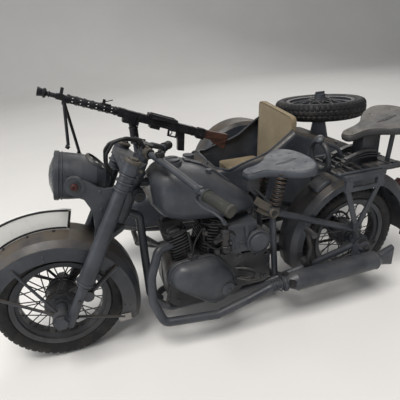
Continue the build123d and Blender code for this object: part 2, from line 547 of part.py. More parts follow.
def make_carrier_frames():
    """Open rectangular frames hung on each side of the rear wheel."""
    y0, y1, lip = 27.0, 30.4, 24.2 + 1.3
    frames = []
    for s in (-1, 1):
        f = box(RACK_X0, RACK_X1, y0, y1, RACK_Z, RACK_Z + 13.4) - box(RACK_X0 + 6.5, RACK_X1 - 6.5, y0 - 1, y1 + 1,
                                                                      RACK_Z + 3.4, RACK_Z + 9.8)
        f += box(RACK_X0 - 1.5, RACK_X1 + 1.5, lip, y1, RACK_Z + 11.2, RACK_Z + 14.4)
        frames.append(f if s > 0 else mirror(f, Plane.XZ))
    return frames


def make_tail_lamp():
    out = Vector(cos(radians(35)), 0, sin(radians(35)))
    c = Vector(0, 0, AXLE_Z) + out * (REAR_GUARD_R - 1)
    return rod(c, c + out * 3.5, 6.4) + rod(c + out * 3.5, c + out * 8, 5.4)


def make_lever():
    """Kick starter: boss on the gearbox, crank and pedal."""
    x = JOINT_X + 31
    return fused([cross_bar(x, -18.5, -26, 44, 4.0), tube([(x, -25, 44), (x + 2, -25, 60), (x - 3, -25, 80)], 2.0, 6),
                  rod((x - 3, -24, 80), (x - 3, -37, 80), 2.8)])


# ---------------------------------------------------------------- sidecar
# x, half width, underside, top, corner radius
TUB = [(FRONT_X + 34, 9.0, 62.0, 74.0, 5.0), (FRONT_X + 56, 17.5, 53.5, 83.5, 9.0), (FRONT_X + 80, 25.0, 48.0, 91.0, 11.0),
       (-148.0, 33.0, 45.6, 102.0, 9.0), (-104.0, 39.5, 45.0, 112.0, 7.0), (-53.0, 45.5, 46.0, 121.5, 6.0),
       (-22.0, 46.0, 46.0, 142.5, 6.0), (30.0, 43.5, 50.0, 124.0, 9.0), (60.0, 36.5, 56.0, 113.0, 11.0),
       (84.0, 26.0, 66.0, 100.0, 12.0)]
COCKPIT_X0, COCKPIT_X1, COCKPIT_HALF = -106.0, -13.8, 40.0


def tub_loft(inset):
    rings = []
    for i, (x, half, low, high, corner) in enumerate(TUB):
        x += inset if i == 0 else -inset if i == len(TUB) - 1 else 0
        ring = Plane(origin=(x, TUB_Y, (low + high) / 2), x_dir=(0, 1, 0), z_dir=(1, 0, 0))
        rings.append(ring * rounded(2 * (half - inset), high - low - 2 * inset, corner - inset))
    return loft(rings, ruled=True)


def make_tub():
    """Hollow body, its cockpit mouth and the seat shelf; also returns the outer form."""
    outer, inner = tub_loft(0), tub_loft(TUB_WALL)
    long = COCKPIT_X1 - COCKPIT_X0
    mouth = Pos((COCKPIT_X0 + COCKPIT_X1) / 2, TUB_Y, 150) * extrude(RectangleRounded(long, 2 * COCKPIT_HALF, 14), 45, both=True)
    shelf = box(-84, COCKPIT_X1, TUB_Y - 50, TUB_Y + 50, SEAT_Z - 3, SEAT_Z) + box(-84, -81.6, TUB_Y - 50, TUB_Y + 50, 40, SEAT_Z)
    return (outer - (inner - (shelf & inner))) - mouth, outer


def make_side_chassis():
    """Ring of tubes under the tub, links to the bike, the axle arm and the mudguard's stays."""
    z, near, far = CHASSIS_Z, TUB_Y - CHASSIS_HALF, TUB_Y + CHASSIS_HALF
    front, back, ya = FRONT_X + 74, 36.0, SIDE_WHEEL_Y
    parts = [tube([(front, near + 12, z), (front + 16, near, z), (back, near, z)], TUBE_R, 10),
             tube([(front, far - 12, z), (front + 16, far, z), (back, far, z)], TUBE_R, 10)]
    parts += [cross_bar(x, y0, y1, z, TUBE_R) for x, y0, y1 in
              ((front, near + 12, far - 12), (SIDE_WHEEL_X, near, far), (back, near, far))]
    parts += [rod((FRONT_X + 96, near, z), (FRONT_X + 96, RAIL_Y, RAIL_Z), TUBE_R), rod((-50, near, z), (-50, STAY_Y, 41), TUBE_R),
              rod((FRONT_X + 94, near, z), (FRONT_X + 71, 0, 92), 2.6), rod((-70, near, z), (JOINT_X, JOINT_Y, JOINT_Z), 2.6)]
    parts.append(tube([(SIDE_WHEEL_X, far, z), (SIDE_WHEEL_X, ya - 27, z), (SIDE_WHEEL_X, ya - 21, AXLE_Z),
                       (SIDE_WHEEL_X, ya - HUB_SIDE, AXLE_Z)], 4.2, 4))
    parts += [cross_bar(SIDE_WHEEL_X, ya - 14, ya + 15, AXLE_Z, AXLE_R), cross_bar(SIDE_WHEEL_X, ya + HUB_SIDE, ya + 15, AXLE_Z, 5.0)]
    parts += [rod((x, y, z), (x, y, 54), 2.6) for x in (-150, -100, 10) for y in (near, far)]
    skirt_y = ya - SIDE_GUARD_HALF
    for dx, dz in ((-48, 30), (46, 28)):
        parts.append(tube([(SIDE_WHEEL_X + 0.6 * dx, far, z), (SIDE_WHEEL_X + 0.8 * dx, skirt_y - 18, z + 4),
                           (SIDE_WHEEL_X + dx, skirt_y - 8, AXLE_Z + dz), (SIDE_WHEEL_X + dx, skirt_y, AXLE_Z + dz)], 1.8, 3.5))
    return fused(parts)


def make_cushion():
    b = box(-79, -29.5, TUB_Y - 38, TUB_Y + 38, SEAT_Z, SEAT_Z + 12)
    return fillet(b.edges(), 2.0)


def make_backrest():
    """Plain board with a slanted top, a little lower on the bike's side."""
    half = COCKPIT_HALF - 1
    face = Plane.YZ * make_face(Polyline((-half, 0), (half, 0), (half, 79), (-half, 71.5), close=True))
    board = extrude(face, 3.3, both=True)
    return Pos(-22, TUB_Y, SEAT_Z) * Rot(0, 2, 0) * fillet(board.edges(), 1.4)


SPARE_PLACE = Pos(SPARE_X, SPARE_Y, SPARE_Z) * Rot(SPARE_ROLL, 0, 0)


def make_spare_carrier(outer):
    """Pedestal on the tail with a stud through the hub and a wing nut on top."""
    pedestal = SPARE_PLACE * (Pos(0, 0, -HUB_HALF - 12) * Cone(11, 6.5, 24))
    stud = SPARE_PLACE * (Cylinder(AXLE_R, 2 * HUB_HALF + 4) + Pos(0, 0, HUB_HALF + 1.6) * Cylinder(6, 3.2)
                          + Pos(0, 0, HUB_HALF + 4) * Box(11, 2.2, 3.4))
    return (pedestal + stud) - outer


# ---------------------------------------------------------------- gun and its post
GUN_PLACE = Pos(POST_X, GUN_Y, GUN_Z) * Rot(0, GUN_RISE, 0)


def make_post(outer):
    return rod((POST_X, GUN_Y, 75), (POST_X, GUN_Y, POST_TOP), POST_R) + rod((POST_X, GUN_Y, 75), (POST_X, GUN_Y, 104), 7.5, 3.6) - outer


def make_barrel():
    """Slotted jacket, muzzle and sights, towards -X from the pivot."""
    slots = [Pos(-57 + k * 7.4, 0, 0) * Rot(a, 0, 0) * Cylinder(1.3, 12) for k in range(7) for a in (0, 60, 120)]
    jacket = rod((-62, 0, 0), (-6, 0, 0), 3.9) - slots
    return fused([jacket, rod((-80, 0, 0), (-62, 0, 0), 2.2), rod((-88, 0, 0), (-80, 0, 0), 4.4, 2.6),
                  box(-72, -62, -2.6, 2.6, -2.6, 2.6), box(-69, -66.5, -1.2, 1.2, 2, 8.6), box(-30, -27.5, -1.6, 1.6, 3, 8.2)])


def make_receiver():
    trigger = slab([(40, -4), (51, -4), (51, -12), (41, -12)], -1, 1) - slab([(42, -6), (49.6, -6), (49.6, -10.6), (43, -10.6)], -2, 2)
    return fused([box(-6, 80, -4.2, 4.2, -4.6, 3.8), box(16, 47, -5.6, 5.6, 2.6, 6.4), box(-14, -6, -4.2, 4.2, -4.2, 4.2),
                  box(20, 30, -5.6, 5.6, -7.4, -3.0), box(72, 80, -3.6, 3.6, -6.5, 4.8),
                  slab([(50, -4), (58, -4), (63, -23), (56, -24)], -2.8, 2.8), trigger])


def make_stock():
    return slab([(80, 4.0), (107, 5.5), (107, -11), (94, -8), (88, -4.5), (80, -4.5)], -3.4, 3.4)


def make_carriage():
    """Socket round the post's top, its neck and the two cheeks that hold the gun."""
    socket = rod((POST_X, GUN_Y, 141), (POST_X, GUN_Y, 158), 4.4) - rod((POST_X, GUN_Y, 139), (POST_X, GUN_Y, POST_TOP + 0.3), POST_R + RUNNING)
    cheeks = [box(-8, 8, -5.6, 5.6, -8.4, -3.0)] + [box(-4, 4, s * 5.4 - 0.8, s * 5.4 + 0.8, -8.0, 1.5) for s in (-1, 1)]
    return fused([socket, rod((POST_X, GUN_Y, 156), (POST_X - 1, GUN_Y, GUN_Z - 6), 3.6), GUN_PLACE * fused(cheeks)])


def make_bipod():
    """Two legs that hang from under the jacket, the far one drawn out further."""
    hinge = (GUN_PLACE * Vertex(-64, 0, -4.2)).center()
    parts = [cross_bar(hinge.X, GUN_Y - 4.5, GUN_Y + 4.5, hinge.Z, 2.2), rod((hinge.X, GUN_Y, hinge.Z), hinge + Vector(1, 0, 4), 1.6)]
    for s, back, drop in ((-1, -3.5, 38.0), (1, 4.5, 53.0)):
        foot = Vector(hinge.X + back, GUN_Y + s * 13, hinge.Z - drop)
        parts += [rod((hinge.X, GUN_Y + s * 3.5, hinge.Z), foot, 1.5), rod(foot, foot + Vector(-2, s * 0.6, -2.5), 2.4, 1.8)]
    return fused(parts)


# ---------------------------------------------------------------- build
def build():
    out = {}
    tyre, wheel = make_tyre(), make_wheel()
    for name, x, y in (("front", FRONT_X, 0), ("rear", 0, 0), ("sidecar", SIDE_WHEEL_X, SIDE_WHEEL_Y)):
        out[name + "_tyre"] = along_y(tyre, x, y, AXLE_Z)
        out[name + "_wheel"] = along_y(wheel, x, y, AXLE_Z)
    out["spare_tyre"], out["spare_wheel"] = SPARE_PLACE * tyre, SPARE_PLACE * wheel

    out["rear_mudguard"] = guard_at(0, 0, AXLE_Z, REAR_GUARD_R, REAR_GUARD_HALF, 12, -8, 196)
    guard_core = cross_bar(0, -REAR_GUARD_HALF - 0.1, REAR_GUARD_HALF + 0.1, AXLE_Z, REAR_GUARD_R + 0.05)
    out["engine_case"] = make_case()
    out["frame"] = make_frame() - out["rear_mudguard"]
    out["engine_cylinders"] = make_cylinders() - out["engine_case"]
    out["primary_cover"] = make_primary() - out["engine_case"]
    out["air_box"] = make_air_box() - out["engine_cylinders"] - out["engine_case"]
    out["exhaust_pipe"] = make_header() - out["engine_cylinders"] - out["primary_cover"]
    out["silencer"] = make_silencer(out["frame"])
    out["fuel_tank"] = make_tank()
    out["tank_fittings"] = Compound(make_tank_fittings(out["fuel_tank"]))
    for name in SADDLES:
        out[name] = make_saddle(name)
    out["saddle_spring"] = make_front_spring() - out["frame"] - guard_core - out["front_saddle"]
    out["rear_rack"] = make_rack() - out["rear_mudguard"]
    out["carrier_frames"] = Compound([f - out["frame"] for f in make_carrier_frames()])
    out["tail_lamp"] = make_tail_lamp() - guard_core
    out["kick_lever"] = make_lever() - out["frame"]

    out["fork"] = make_fork()
    out["headlamp"] = make_headlamp() - out["fork"]
    out["headlamp_lens"] = make_lens() - out["headlamp"]
    out["speedometer"] = make_dial() - out["headlamp"]
    out["handlebar"] = make_handlebar() - out["fork"]
    out["control_cables"] = Compound(make_cables([lamp_body(), out["fork"], out["handlebar"], out["speedometer"]]))
    out["grips"] = Compound([g - out["handlebar"] for g in make_grips()])
    out["front_mudguard"] = make_front_guard() - out["fork"]
    out["number_plate"] = make_plate()

    out["sidecar_tub"], tub_outer = make_tub()
    out["sidecar_mudguard"] = guard_at(SIDE_WHEEL_X, SIDE_WHEEL_Y, AXLE_Z + SIDE_GUARD_UP, SIDE_GUARD_R, SIDE_GUARD_HALF, 26, 2, 172)
    chassis = make_side_chassis() - out["frame"] - out["engine_case"] - out["saddle_spring"]
    out["sidecar_chassis"] = chassis - out["sidecar_mudguard"] - tub_outer
    out["sidecar_cushion"] = make_cushion()
    out["sidecar_backrest"] = make_backrest() - out["sidecar_tub"]
    out["spare_carrier"] = make_spare_carrier(tub_outer)
    out["gun_post"] = make_post(tub_outer)

    receiver, barrel = make_receiver(), make_barrel()
    out["gun_receiver"] = GUN_PLACE * receiver
    out["gun_barrel"] = GUN_PLACE * (barrel - receiver)
    out["gun_stock"] = GUN_PLACE * make_stock()
    out["gun_carriage"] = make_carriage() - out["gun_receiver"] - out["gun_barrel"]
    out["gun_bipod"] = make_bipod() - out["gun_barrel"]
    return out


def export(pieces):
    """Move the origin to the middle of the whole box on the floor and write each piece."""
    boxes = [shape.bounding_box() for shape in pieces.values()]
    low = [min(getattr(b.min, k) for b in boxes) for k in "XYZ"]
    high = [max(getattr(b.max, k) for b in boxes) for k in "XYZ"]
    shift = (-(low[0] + high[0]) / 2, -(low[1] + high[1]) / 2, -low[2])
    print("box", low, high, "shift", shift)
    os.makedirs("parts", exist_ok=True)
    for name, shape in pieces.items():
        export_step(Pos(*shift) * shape, f"parts/{name}.step")
        print(name, round(shape.volume, 1), "mm3,", len(shape.solids()), "solids")


export(build())
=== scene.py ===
"""Finishes and modelled trim for a one-sixth display motorcycle with a sidecar.

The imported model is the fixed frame.  Sizes are written in millimetres on the maker's drawing:
the rear axle stands over x = 0, the bike's nose points along -x, its left side along -y, the
sidecar is at +y and the floor is z = 0.  Datum turns them into the frame's metres.
"""
from __future__ import annotations

import logging
import math
from dataclasses import dataclass, field
from enum import Enum
from typing import Iterable, Optional, Sequence

import bmesh
import bpy
import numpy as np
from mathutils import Matrix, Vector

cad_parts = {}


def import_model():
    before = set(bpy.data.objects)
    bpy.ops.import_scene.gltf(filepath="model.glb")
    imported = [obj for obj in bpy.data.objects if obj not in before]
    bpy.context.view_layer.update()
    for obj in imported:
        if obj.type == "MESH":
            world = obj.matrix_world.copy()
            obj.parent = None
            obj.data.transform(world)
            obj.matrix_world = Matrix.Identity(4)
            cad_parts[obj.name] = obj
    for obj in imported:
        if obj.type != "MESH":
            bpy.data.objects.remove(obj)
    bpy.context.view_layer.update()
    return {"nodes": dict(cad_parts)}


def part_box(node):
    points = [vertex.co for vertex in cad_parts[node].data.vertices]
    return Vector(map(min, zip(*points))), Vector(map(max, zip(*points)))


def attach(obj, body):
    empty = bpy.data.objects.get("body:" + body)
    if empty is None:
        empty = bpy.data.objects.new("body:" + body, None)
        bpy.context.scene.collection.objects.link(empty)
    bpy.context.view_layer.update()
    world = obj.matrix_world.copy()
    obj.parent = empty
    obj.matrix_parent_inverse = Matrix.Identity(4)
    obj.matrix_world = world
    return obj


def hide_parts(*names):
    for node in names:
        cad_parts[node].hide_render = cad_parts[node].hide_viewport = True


Array = np.ndarray
Point = Sequence[float]
Triple = tuple[float, float, float]
Colour = Triple
LOG = logging.getLogger("sidecar_model")

SIDES = (-1, 1)
LEFT, RIGHT, BACK, UP = (0.0, -1.0, 0.0), (0.0, 1.0, 0.0), (1.0, 0.0, 0.0), (0.0, 0.0, 1.0)
FRONT_AXLE, REAR_AXLE, SIDE_AXLE = (-270.0, 0.0, 51.0), (0.0, 0.0, 51.0), (-24.0, 208.0, 51.0)
SIDE_GUARD = (-24.0, 208.0, 61.0)
SPARE_MIDDLE, SPARE_LEAN_DEG = (39.0, 112.0, 153.0), -3.0
TUB_Y = 108.0


# ------------------------------------------------------------------ the drawing's datum
@dataclass(frozen=True)
class Datum:
    """Where the drawing's zero stands in the frame, in metres."""

    x: float
    y: float

    @classmethod
    def from_frame(cls) -> "Datum":
        """Take the zero from the rear wheel's axle."""
        low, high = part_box("rear_wheel")
        return cls((low[0] + high[0]) / 2, (low[1] + high[1]) / 2)

    def metres(self, points: Array) -> Array:
        """Turn drawing millimetres into frame metres.

        Args:
            points: array of (..., 3) millimetres.
        Returns:
            The same array in metres, moved to the frame.
        """
        return np.asarray(points, float) * 1e-3 + np.array([self.x, self.y, 0.0])


@dataclass(frozen=True)
class Steering:
    """The raked fork's own directions, as the drawing gives them."""

    front: Triple = FRONT_AXLE
    rake_deg: float = 28.2
    leg_behind: float = 7.1
    stem_behind: float = 18.1
    leg_y: float = 26.0

    def up(self) -> Array:
        """Direction up the fork."""
        a = math.radians(self.rake_deg)
        return np.array([math.sin(a), 0.0, math.cos(a)])

    def behind(self) -> Array:
        """Direction square to the fork, towards the rider."""
        a = math.radians(self.rake_deg)
        return np.array([math.cos(a), 0.0, -math.sin(a)])

    def at(self, up: float, behind: float, y: float = 0.0) -> Array:
        """Point that far up the fork and behind the front axle, in millimetres."""
        return np.array(self.front) + self.up() * up + self.behind() * behind + np.array([0, y, 0])


# ------------------------------------------------------------------ surfaces worked out with numpy
@dataclass
class Shell:
    """A surface as plain arrays: points in millimetres and faces with three or four corners."""

    points: Array
    quads: Array = field(default_factory=lambda: np.zeros((0, 4), int))
    tris: Array = field(default_factory=lambda: np.zeros((0, 3), int))

    def moved(self, turn: Array, shift: Point) -> "Shell":
        """Turn by a 3x3 matrix and then shift; returns a new shell."""
        return Shell(self.points @ np.asarray(turn, float).T + np.asarray(shift, float), self.quads,
                     self.tris)

    def shifted(self, x: float = 0, y: float = 0, z: float = 0) -> "Shell":
        """Shift only."""
        return self.moved(np.eye(3), (x, y, z))

    @staticmethod
    def join(shells: Iterable["Shell"]) -> "Shell":
        """One shell of many, side by side.

        Args:
            shells: the shells to put together.
        Returns:
            The joined shell.
        """
        shells = list(shells)
        starts = np.cumsum([0] + [len(s.points) for s in shells])
        return Shell(
            np.vstack([s.points for s in shells]),
            np.vstack([s.quads + k for s, k in zip(shells, starts)]),
            np.vstack([s.tris + k for s, k in zip(shells, starts)]),
        )


def grid(points: Array, close_u: bool = False, close_v: bool = False, caps: bool = False) -> Shell:
    """Faces over a grid of points.

    Formula: face (i, j) joins points (i, j), (i+1, j), (i+1, j+1) and (i, j+1); a closed
    direction wraps round.  Caps are fans to the mean point of the first and last row.
    Args:
        points: (nu, nv, 3) millimetres.
        close_u: the rows join end to end.
        close_v: the columns join end to end.
        caps: close the first and last row.
    Returns:
        The surface.
    """
    nu, nv = points.shape[:2]
    i, j = np.meshgrid(np.arange(nu if close_u else nu - 1), np.arange(nv if close_v else nv - 1),
                       indexing="ij")
    i, j = i.ravel(), j.ravel()
    i2, j2 = (i + 1) % nu, (j + 1) % nv
    quads = np.stack([i * nv + j, i2 * nv + j, i2 * nv + j2, i * nv + j2], 1)
    flat, tris = points.reshape(-1, 3), np.zeros((0, 3), int)
    if caps:
        k = np.arange(nv if close_v else nv - 1)
        k2 = (k + 1) % nv
        first, last = len(flat), len(flat) + 1
        flat = np.vstack([flat, points[0].mean(0), points[-1].mean(0)])
        end = (nu - 1) * nv
        tris = np.vstack([
            np.stack([np.full_like(k, first), k, k2], 1),
            np.stack([np.full_like(k, last), end + k2, end + k], 1),
        ])
    return Shell(flat, quads, tris)


def unit(v: Point) -> Array:
    """Vector of length one."""
    v = np.asarray(v, float)
    return v / np.linalg.norm(v)


def axes_for(z: Point) -> Array:
    """3x3 matrix whose third column is z and whose others are square to it.

    Args:
        z: direction of the third column.
    Returns:
        The matrix.
    """
    z = unit(z)
    x = unit(np.cross([0, 1, 0] if abs(z[1]) < 0.9 else [1, 0, 0], z))
    return np.stack([x, np.cross(z, x), z], 1)


def lean_about_y(deg: float) -> Array:
    """3x3 matrix that turns +z towards +x by an angle."""
    a = math.radians(deg)
    return np.array([[math.cos(a), 0, math.sin(a)], [0, 1, 0], [-math.sin(a), 0, math.cos(a)]])


def signed_power(values: Array, power: float) -> Array:
    """Values raised to a power, with their signs kept."""
    return np.sign(values) * np.abs(values) ** power


def soft_square(power: float, count: int) -> tuple[Array, Array]:
    """The cosine and sine round a circle, each raised to a power with its sign kept."""
    v = np.linspace(0, 2 * math.pi, count, endpoint=False)
    return signed_power(np.cos(v), power), signed_power(np.sin(v), power)


def lathe(profile: Sequence[tuple[float, float]], origin: Point = (0, 0, 0), axis: Point = (0, 0, 1),
          turns: int = 40, closed: bool = False) -> Shell:
    """A profile turned about an axis.

    Formula: point (i, j) is origin + r_i cos(a_j) x + r_i sin(a_j) y + t_i axis.
    Args:
        profile: (radius, along) pairs in millimetres.
        origin: point on the axis where along is zero.
        axis: direction of the axis.
        turns: how many steps round.
        closed: the profile is a closed loop, as for a ring.
    Returns:
        The surface, with its ends capped unless it is a loop.
    """
    p = np.asarray(profile, float)
    a = np.linspace(0, 2 * math.pi, turns, endpoint=False)
    local = np.stack([p[:, :1] * np.cos(a), p[:, :1] * np.sin(a), np.repeat(p[:, 1:], turns, 1)], -1)
    shell = grid(local, close_u=closed, close_v=True, caps=not closed)
    return shell.moved(axes_for(axis), origin)


def smooth(table: Array, count: int, closed: bool = False) -> Array:
    """Even samples of a smooth line through the rows of a table.

    Formula: between rows b and c the point is the cubic that leaves b along c - a and reaches
    c along d - b, each halved.
    Args:
        table: (n, k) rows to pass through.
        count: number of samples.
        closed: the line returns to its first row.
    Returns:
        (count, k) samples.
    """
    table = np.asarray(table, float)
    n = len(table)
    if closed:
        t = np.linspace(0, n, count, endpoint=False)
        i = np.floor(t).astype(int)
        a, b, c, d = (table[(i + k) % n] for k in (-1, 0, 1, 2))
    else:
        t = np.linspace(0, n - 1, count)
        i = np.minimum(np.floor(t).astype(int), n - 2)
        ends = np.vstack([2 * table[0] - table[1], table, 2 * table[-1] - table[-2]])
        a, b, c, d = (ends[i + k] for k in (0, 1, 2, 3))
    s = (t - i)[:, None]
    return b + 0.5 * s * (c - a + s * (2 * a - 5 * b + 4 * c - d + s * (3 * (b - c) + d - a)))


def pipe(path: Array, radius: float | Array, sides: int = 12, closed: bool = False) -> Shell:
    """A round bar carried along a path.

    Formula: ring i lies in the plane square to the path there, with radius r_i; each plane's
    directions are the last one's, freed of the new tangent.
    Args:
        path: (n, 3) millimetres.
        radius: one radius or one for each point.
        sides: corners of each ring.
        closed: the path returns to its start.
    Returns:
        The bar, capped unless closed.
    """
    path = np.asarray(path, float)
    n = len(path)
    if closed:
        tangent = np.roll(path, -1, 0) - np.roll(path, 1, 0)
    else:
        tangent = np.gradient(path, axis=0)
    tangent /= np.linalg.norm(tangent, axis=1, keepdims=True)
    x = np.zeros_like(path)
    x[0] = axes_for(tangent[0])[:, 0]
    for k in range(1, n):
        x[k] = unit(x[k - 1] - tangent[k] * (x[k - 1] @ tangent[k]))
    y = np.cross(tangent, x)
    a = np.linspace(0, 2 * math.pi, sides, endpoint=False)
    r = np.broadcast_to(np.asarray(radius, float), (n,))[:, None, None]
    ring = path[:, None] + r * (np.cos(a)[None, :, None] * x[:, None] + np.sin(a)[None, :, None] * y[:, None])
    return grid(ring, close_u=closed, close_v=True, caps=not closed)


def soft_block(size: Point, edge: float, steps: int = 4) -> Shell:
    """A block with rounded edges, about its own middle.

    Formula: the unit ball's point s goes to sign(s) (half size - edge) + edge s, so the ball's
    eight parts move apart and the faces between them are flat.
    Args:
        size: full (x, y, z) in millimetres.
        edge: radius of the edges.
        steps: steps in each quarter turn.
    Returns:
        The closed block.
    """
    half = np.asarray(size, float) / 2
    edge = min(edge, 0.98 * float(half.min()))
    q = (np.arange(steps) + 0.5) / steps * math.pi / 2
    lon = np.concatenate([q + k * math.pi / 2 for k in range(4)])
    lat = np.concatenate([-q[::-1], q])
    s = np.stack([np.outer(np.cos(lat), np.cos(lon)), np.outer(np.cos(lat), np.sin(lon)),
                  np.repeat(np.sin(lat)[:, None], len(lon), 1)], -1)
    shell = grid(s, close_v=True, caps=True)
    p = shell.points
    p[-2:] = [[0, 0, -1], [0, 0, 1]]
    corner = np.where(np.abs(p) < 1e-9, 0, np.sign(p))
    return Shell(corner * (half - edge) + edge * p, shell.quads, shell.tris)


def ribbon(path: Array, across: Array, profile: Array) -> Shell:
    """A flat closed profile carried along a path.

    Formula: point (i, j) is path_i + profile_j,0 across_i + profile_j,1 (tangent x across)_i.
    Args:
        path: (n, 3) millimetres.
        across: (n, 3) or (3,) direction of the profile's first axis.
        profile: (m, 2) closed loop.
    Returns:
        The capped strip.
    """
    path = np.asarray(path, float)
    tangent = np.gradient(path, axis=0)
    tangent /= np.linalg.norm(tangent, axis=1, keepdims=True)
    across = np.broadcast_to(np.asarray(across, float), path.shape)
    out = np.cross(tangent, across)
    out /= np.linalg.norm(out, axis=1, keepdims=True)
    pts = path[:, None] + profile[None, :, :1] * across[:, None] + profile[None, :, 1:] * out[:, None]
    return grid(pts, close_v=True, caps=True)


def repeated(shell: Shell, places: Sequence[tuple[Array, Array]]) -> Shell:
    """The same small shell at each (3x3 turn, shift)."""
    return Shell.join([shell.moved(turn, shift) for turn, shift in places])


class Fixing(Enum):
    """Small fasteners, turned about +z and standing on z = 0."""

    RIVET = "rivet"
    SCREW = "screw"
    HEX = "hex"

    def shell(self, radius: float) -> Shell:
        """The fastener at a radius in millimetres.

        Args:
            radius: the fastener's radius in millimetres.
        Returns:
            The surface.
        """
        if self is Fixing.RIVET:
            a = np.linspace(0, math.pi / 2, 4)
            profile = [(1.0, -0.35)] + [(math.cos(t), 0.55 * math.sin(t)) for t in a]
            sides = 10
        elif self is Fixing.SCREW:
            profile = [(1.0, -0.4), (1.0, 0.35), (0.8, 0.6), (0.45, 0.6), (0.4, 0.35), (0, 0.35)]
            sides = 12
        else:
            profile = [(1.25, -0.4), (1.25, 0.12), (0.98, 0.14), (0.98, 0.85), (0.8, 1.0), (0, 1.0)]
            sides = 6
        return lathe([(r * radius, t * radius) for r, t in profile], turns=sides)


def fixings(kind: Fixing, radius: float, spots: Iterable[tuple[Point, Point]]) -> Shell:
    """Fasteners at each (point, outward direction)."""
    one = kind.shell(radius)
    return repeated(one, [(axes_for(out), np.asarray(at, float)) for at, out in spots])


# ------------------------------------------------------------------ finishes
class Recipe:
    """One material's node tree, built up from its main shader outwards."""

    def __init__(self, name: str) -> None:
        """Start a material of that name with its main shader.

        Args:
            name: the material's name.
        """
        self.material = bpy.data.materials.new(name)
        self.material.use_nodes = True
        self.tree = self.material.node_tree
        self.main = self.tree.nodes["Principled BSDF"]
        self.place = self.tree.nodes.new("ShaderNodeTexCoord").outputs["Object"]

    def put(self, kind: str, **values: object) -> bpy.types.Node:
        """Add a node and set its own properties.

        Args:
            kind: the node's type.
            values: its properties by name.
        Returns:
            The node.
        """
        node = self.tree.nodes.new(kind)
        for key, value in values.items():
            setattr(node, key, value)
        return node

    def link(self, value: object, socket: bpy.types.NodeSocket) -> None:
        """Link a socket, or set a plain value.

        Args:
            value: a socket, or the plain value to set.
            socket: the socket that takes it.
        """
        if isinstance(value, bpy.types.NodeSocket):
            self.tree.links.new(value, socket)
        else:
            socket.default_value = value

    def give(self, name: str, value: object) -> None:
        """Link or set one input of the main shader.

        Args:
            name: the input.
            value: a socket or a plain value.
        """
        self.link(value, self.main.inputs[name])

    def noise(self, scale: float, detail: float = 3.0, rough: float = 0.6,
              stretch: Point = (1, 1, 1)) -> bpy.types.NodeSocket:
        """Noise over the object's own metres.

        Args:
            scale: how many features to a metre.
            detail: how many finer layers are added.
            rough: how strong the finer layers are.
            stretch: share of the scale along x, y and z.
        Returns:
            The pattern, about 0 to 1.
        """
        shift = self.put("ShaderNodeMapping")
        shift.inputs["Scale"].default_value = tuple(stretch)
        self.link(self.place, shift.inputs["Vector"])
        node = self.put("ShaderNodeTexNoise")
        self.link(shift.outputs[0], node.inputs["Vector"])
        for name, value in (("Scale", scale), ("Detail", detail), ("Roughness", rough)):
            self.link(value, node.inputs[name])
        return node.outputs["Fac"]

    def between(self, value: bpy.types.NodeSocket, low: float, high: float, to_low: float = 0.0,
                to_high: float = 1.0) -> bpy.types.NodeSocket:
        """Map a value smoothly from low..high to to_low..to_high.

        Args:
            value: the pattern to map.
            low: where the new range starts.
            high: where it ends.
            to_low: value at low and under it.
            to_high: value at high and over it.
        Returns:
            The mapped pattern.
        """
        node = self.put("ShaderNodeMapRange", interpolation_type="SMOOTHSTEP")
        ranges = (("From Min", low), ("From Max", high), ("To Min", to_low), ("To Max", to_high))
        for name, limit in (("Value", value), *ranges):
            self.link(limit, node.inputs[name])
        return node.outputs["Result"]

    def sum(self, kind: str, a: object, b: object) -> bpy.types.NodeSocket:
        """Plain arithmetic of two values.

        Args:
            kind: the operation.
            a: first value.
            b: second value.
        Returns:
            The result.
        """
        node = self.put("ShaderNodeMath", operation=kind)
        self.link(a, node.inputs[0])
        self.link(b, node.inputs[1])
        return node.outputs[0]

    def mix(self, amount: object, a: object, b: object) -> bpy.types.NodeSocket:
        """Mix two colours.

        Args:
            amount: 0 for the first colour, 1 for the second.
            a: first colour.
            b: second colour.
        Returns:
            The mixed colour.
        """
        node = self.put("ShaderNodeMix", data_type="RGBA")
        self.link(amount, node.inputs["Factor"])
        self.link((*a, 1.0) if isinstance(a, tuple) else a, node.inputs["A"])
        self.link((*b, 1.0) if isinstance(b, tuple) else b, node.inputs["B"])
        return next(o for o in node.outputs if o.type == "RGBA")

    def facing_up(self) -> bpy.types.NodeSocket:
        """How far the surface faces up, from 0 to 1.

        Returns:
            0 for walls and undersides, 1 for tops.
        """
        split = self.put("ShaderNodeSeparateXYZ")
        self.link(self.put("ShaderNodeNewGeometry").outputs["Normal"], split.inputs[0])
        return self.between(split.outputs["Z"], 0.15, 0.95)

    def height(self) -> bpy.types.NodeSocket:
        """Height over the floor in metres.

        Returns:
            The height.
        """
        split = self.put("ShaderNodeSeparateXYZ")
        self.link(self.place, split.inputs[0])
        return split.outputs["Z"]

    def bump(self, height: bpy.types.NodeSocket, distance: float, strength: float = 1.0) -> None:
        """Raise the surface by a height pattern, distance in metres.

        Args:
            height: the pattern.
            distance: how far its full range stands out.
            strength: share of the effect.
        """
        node = self.put("ShaderNodeBump")
        node.inputs["Distance"].default_value = distance
        node.inputs["Strength"].default_value = strength
        self.link(height, node.inputs["Height"])
        self.link(node.outputs[0], self.main.inputs["Normal"])


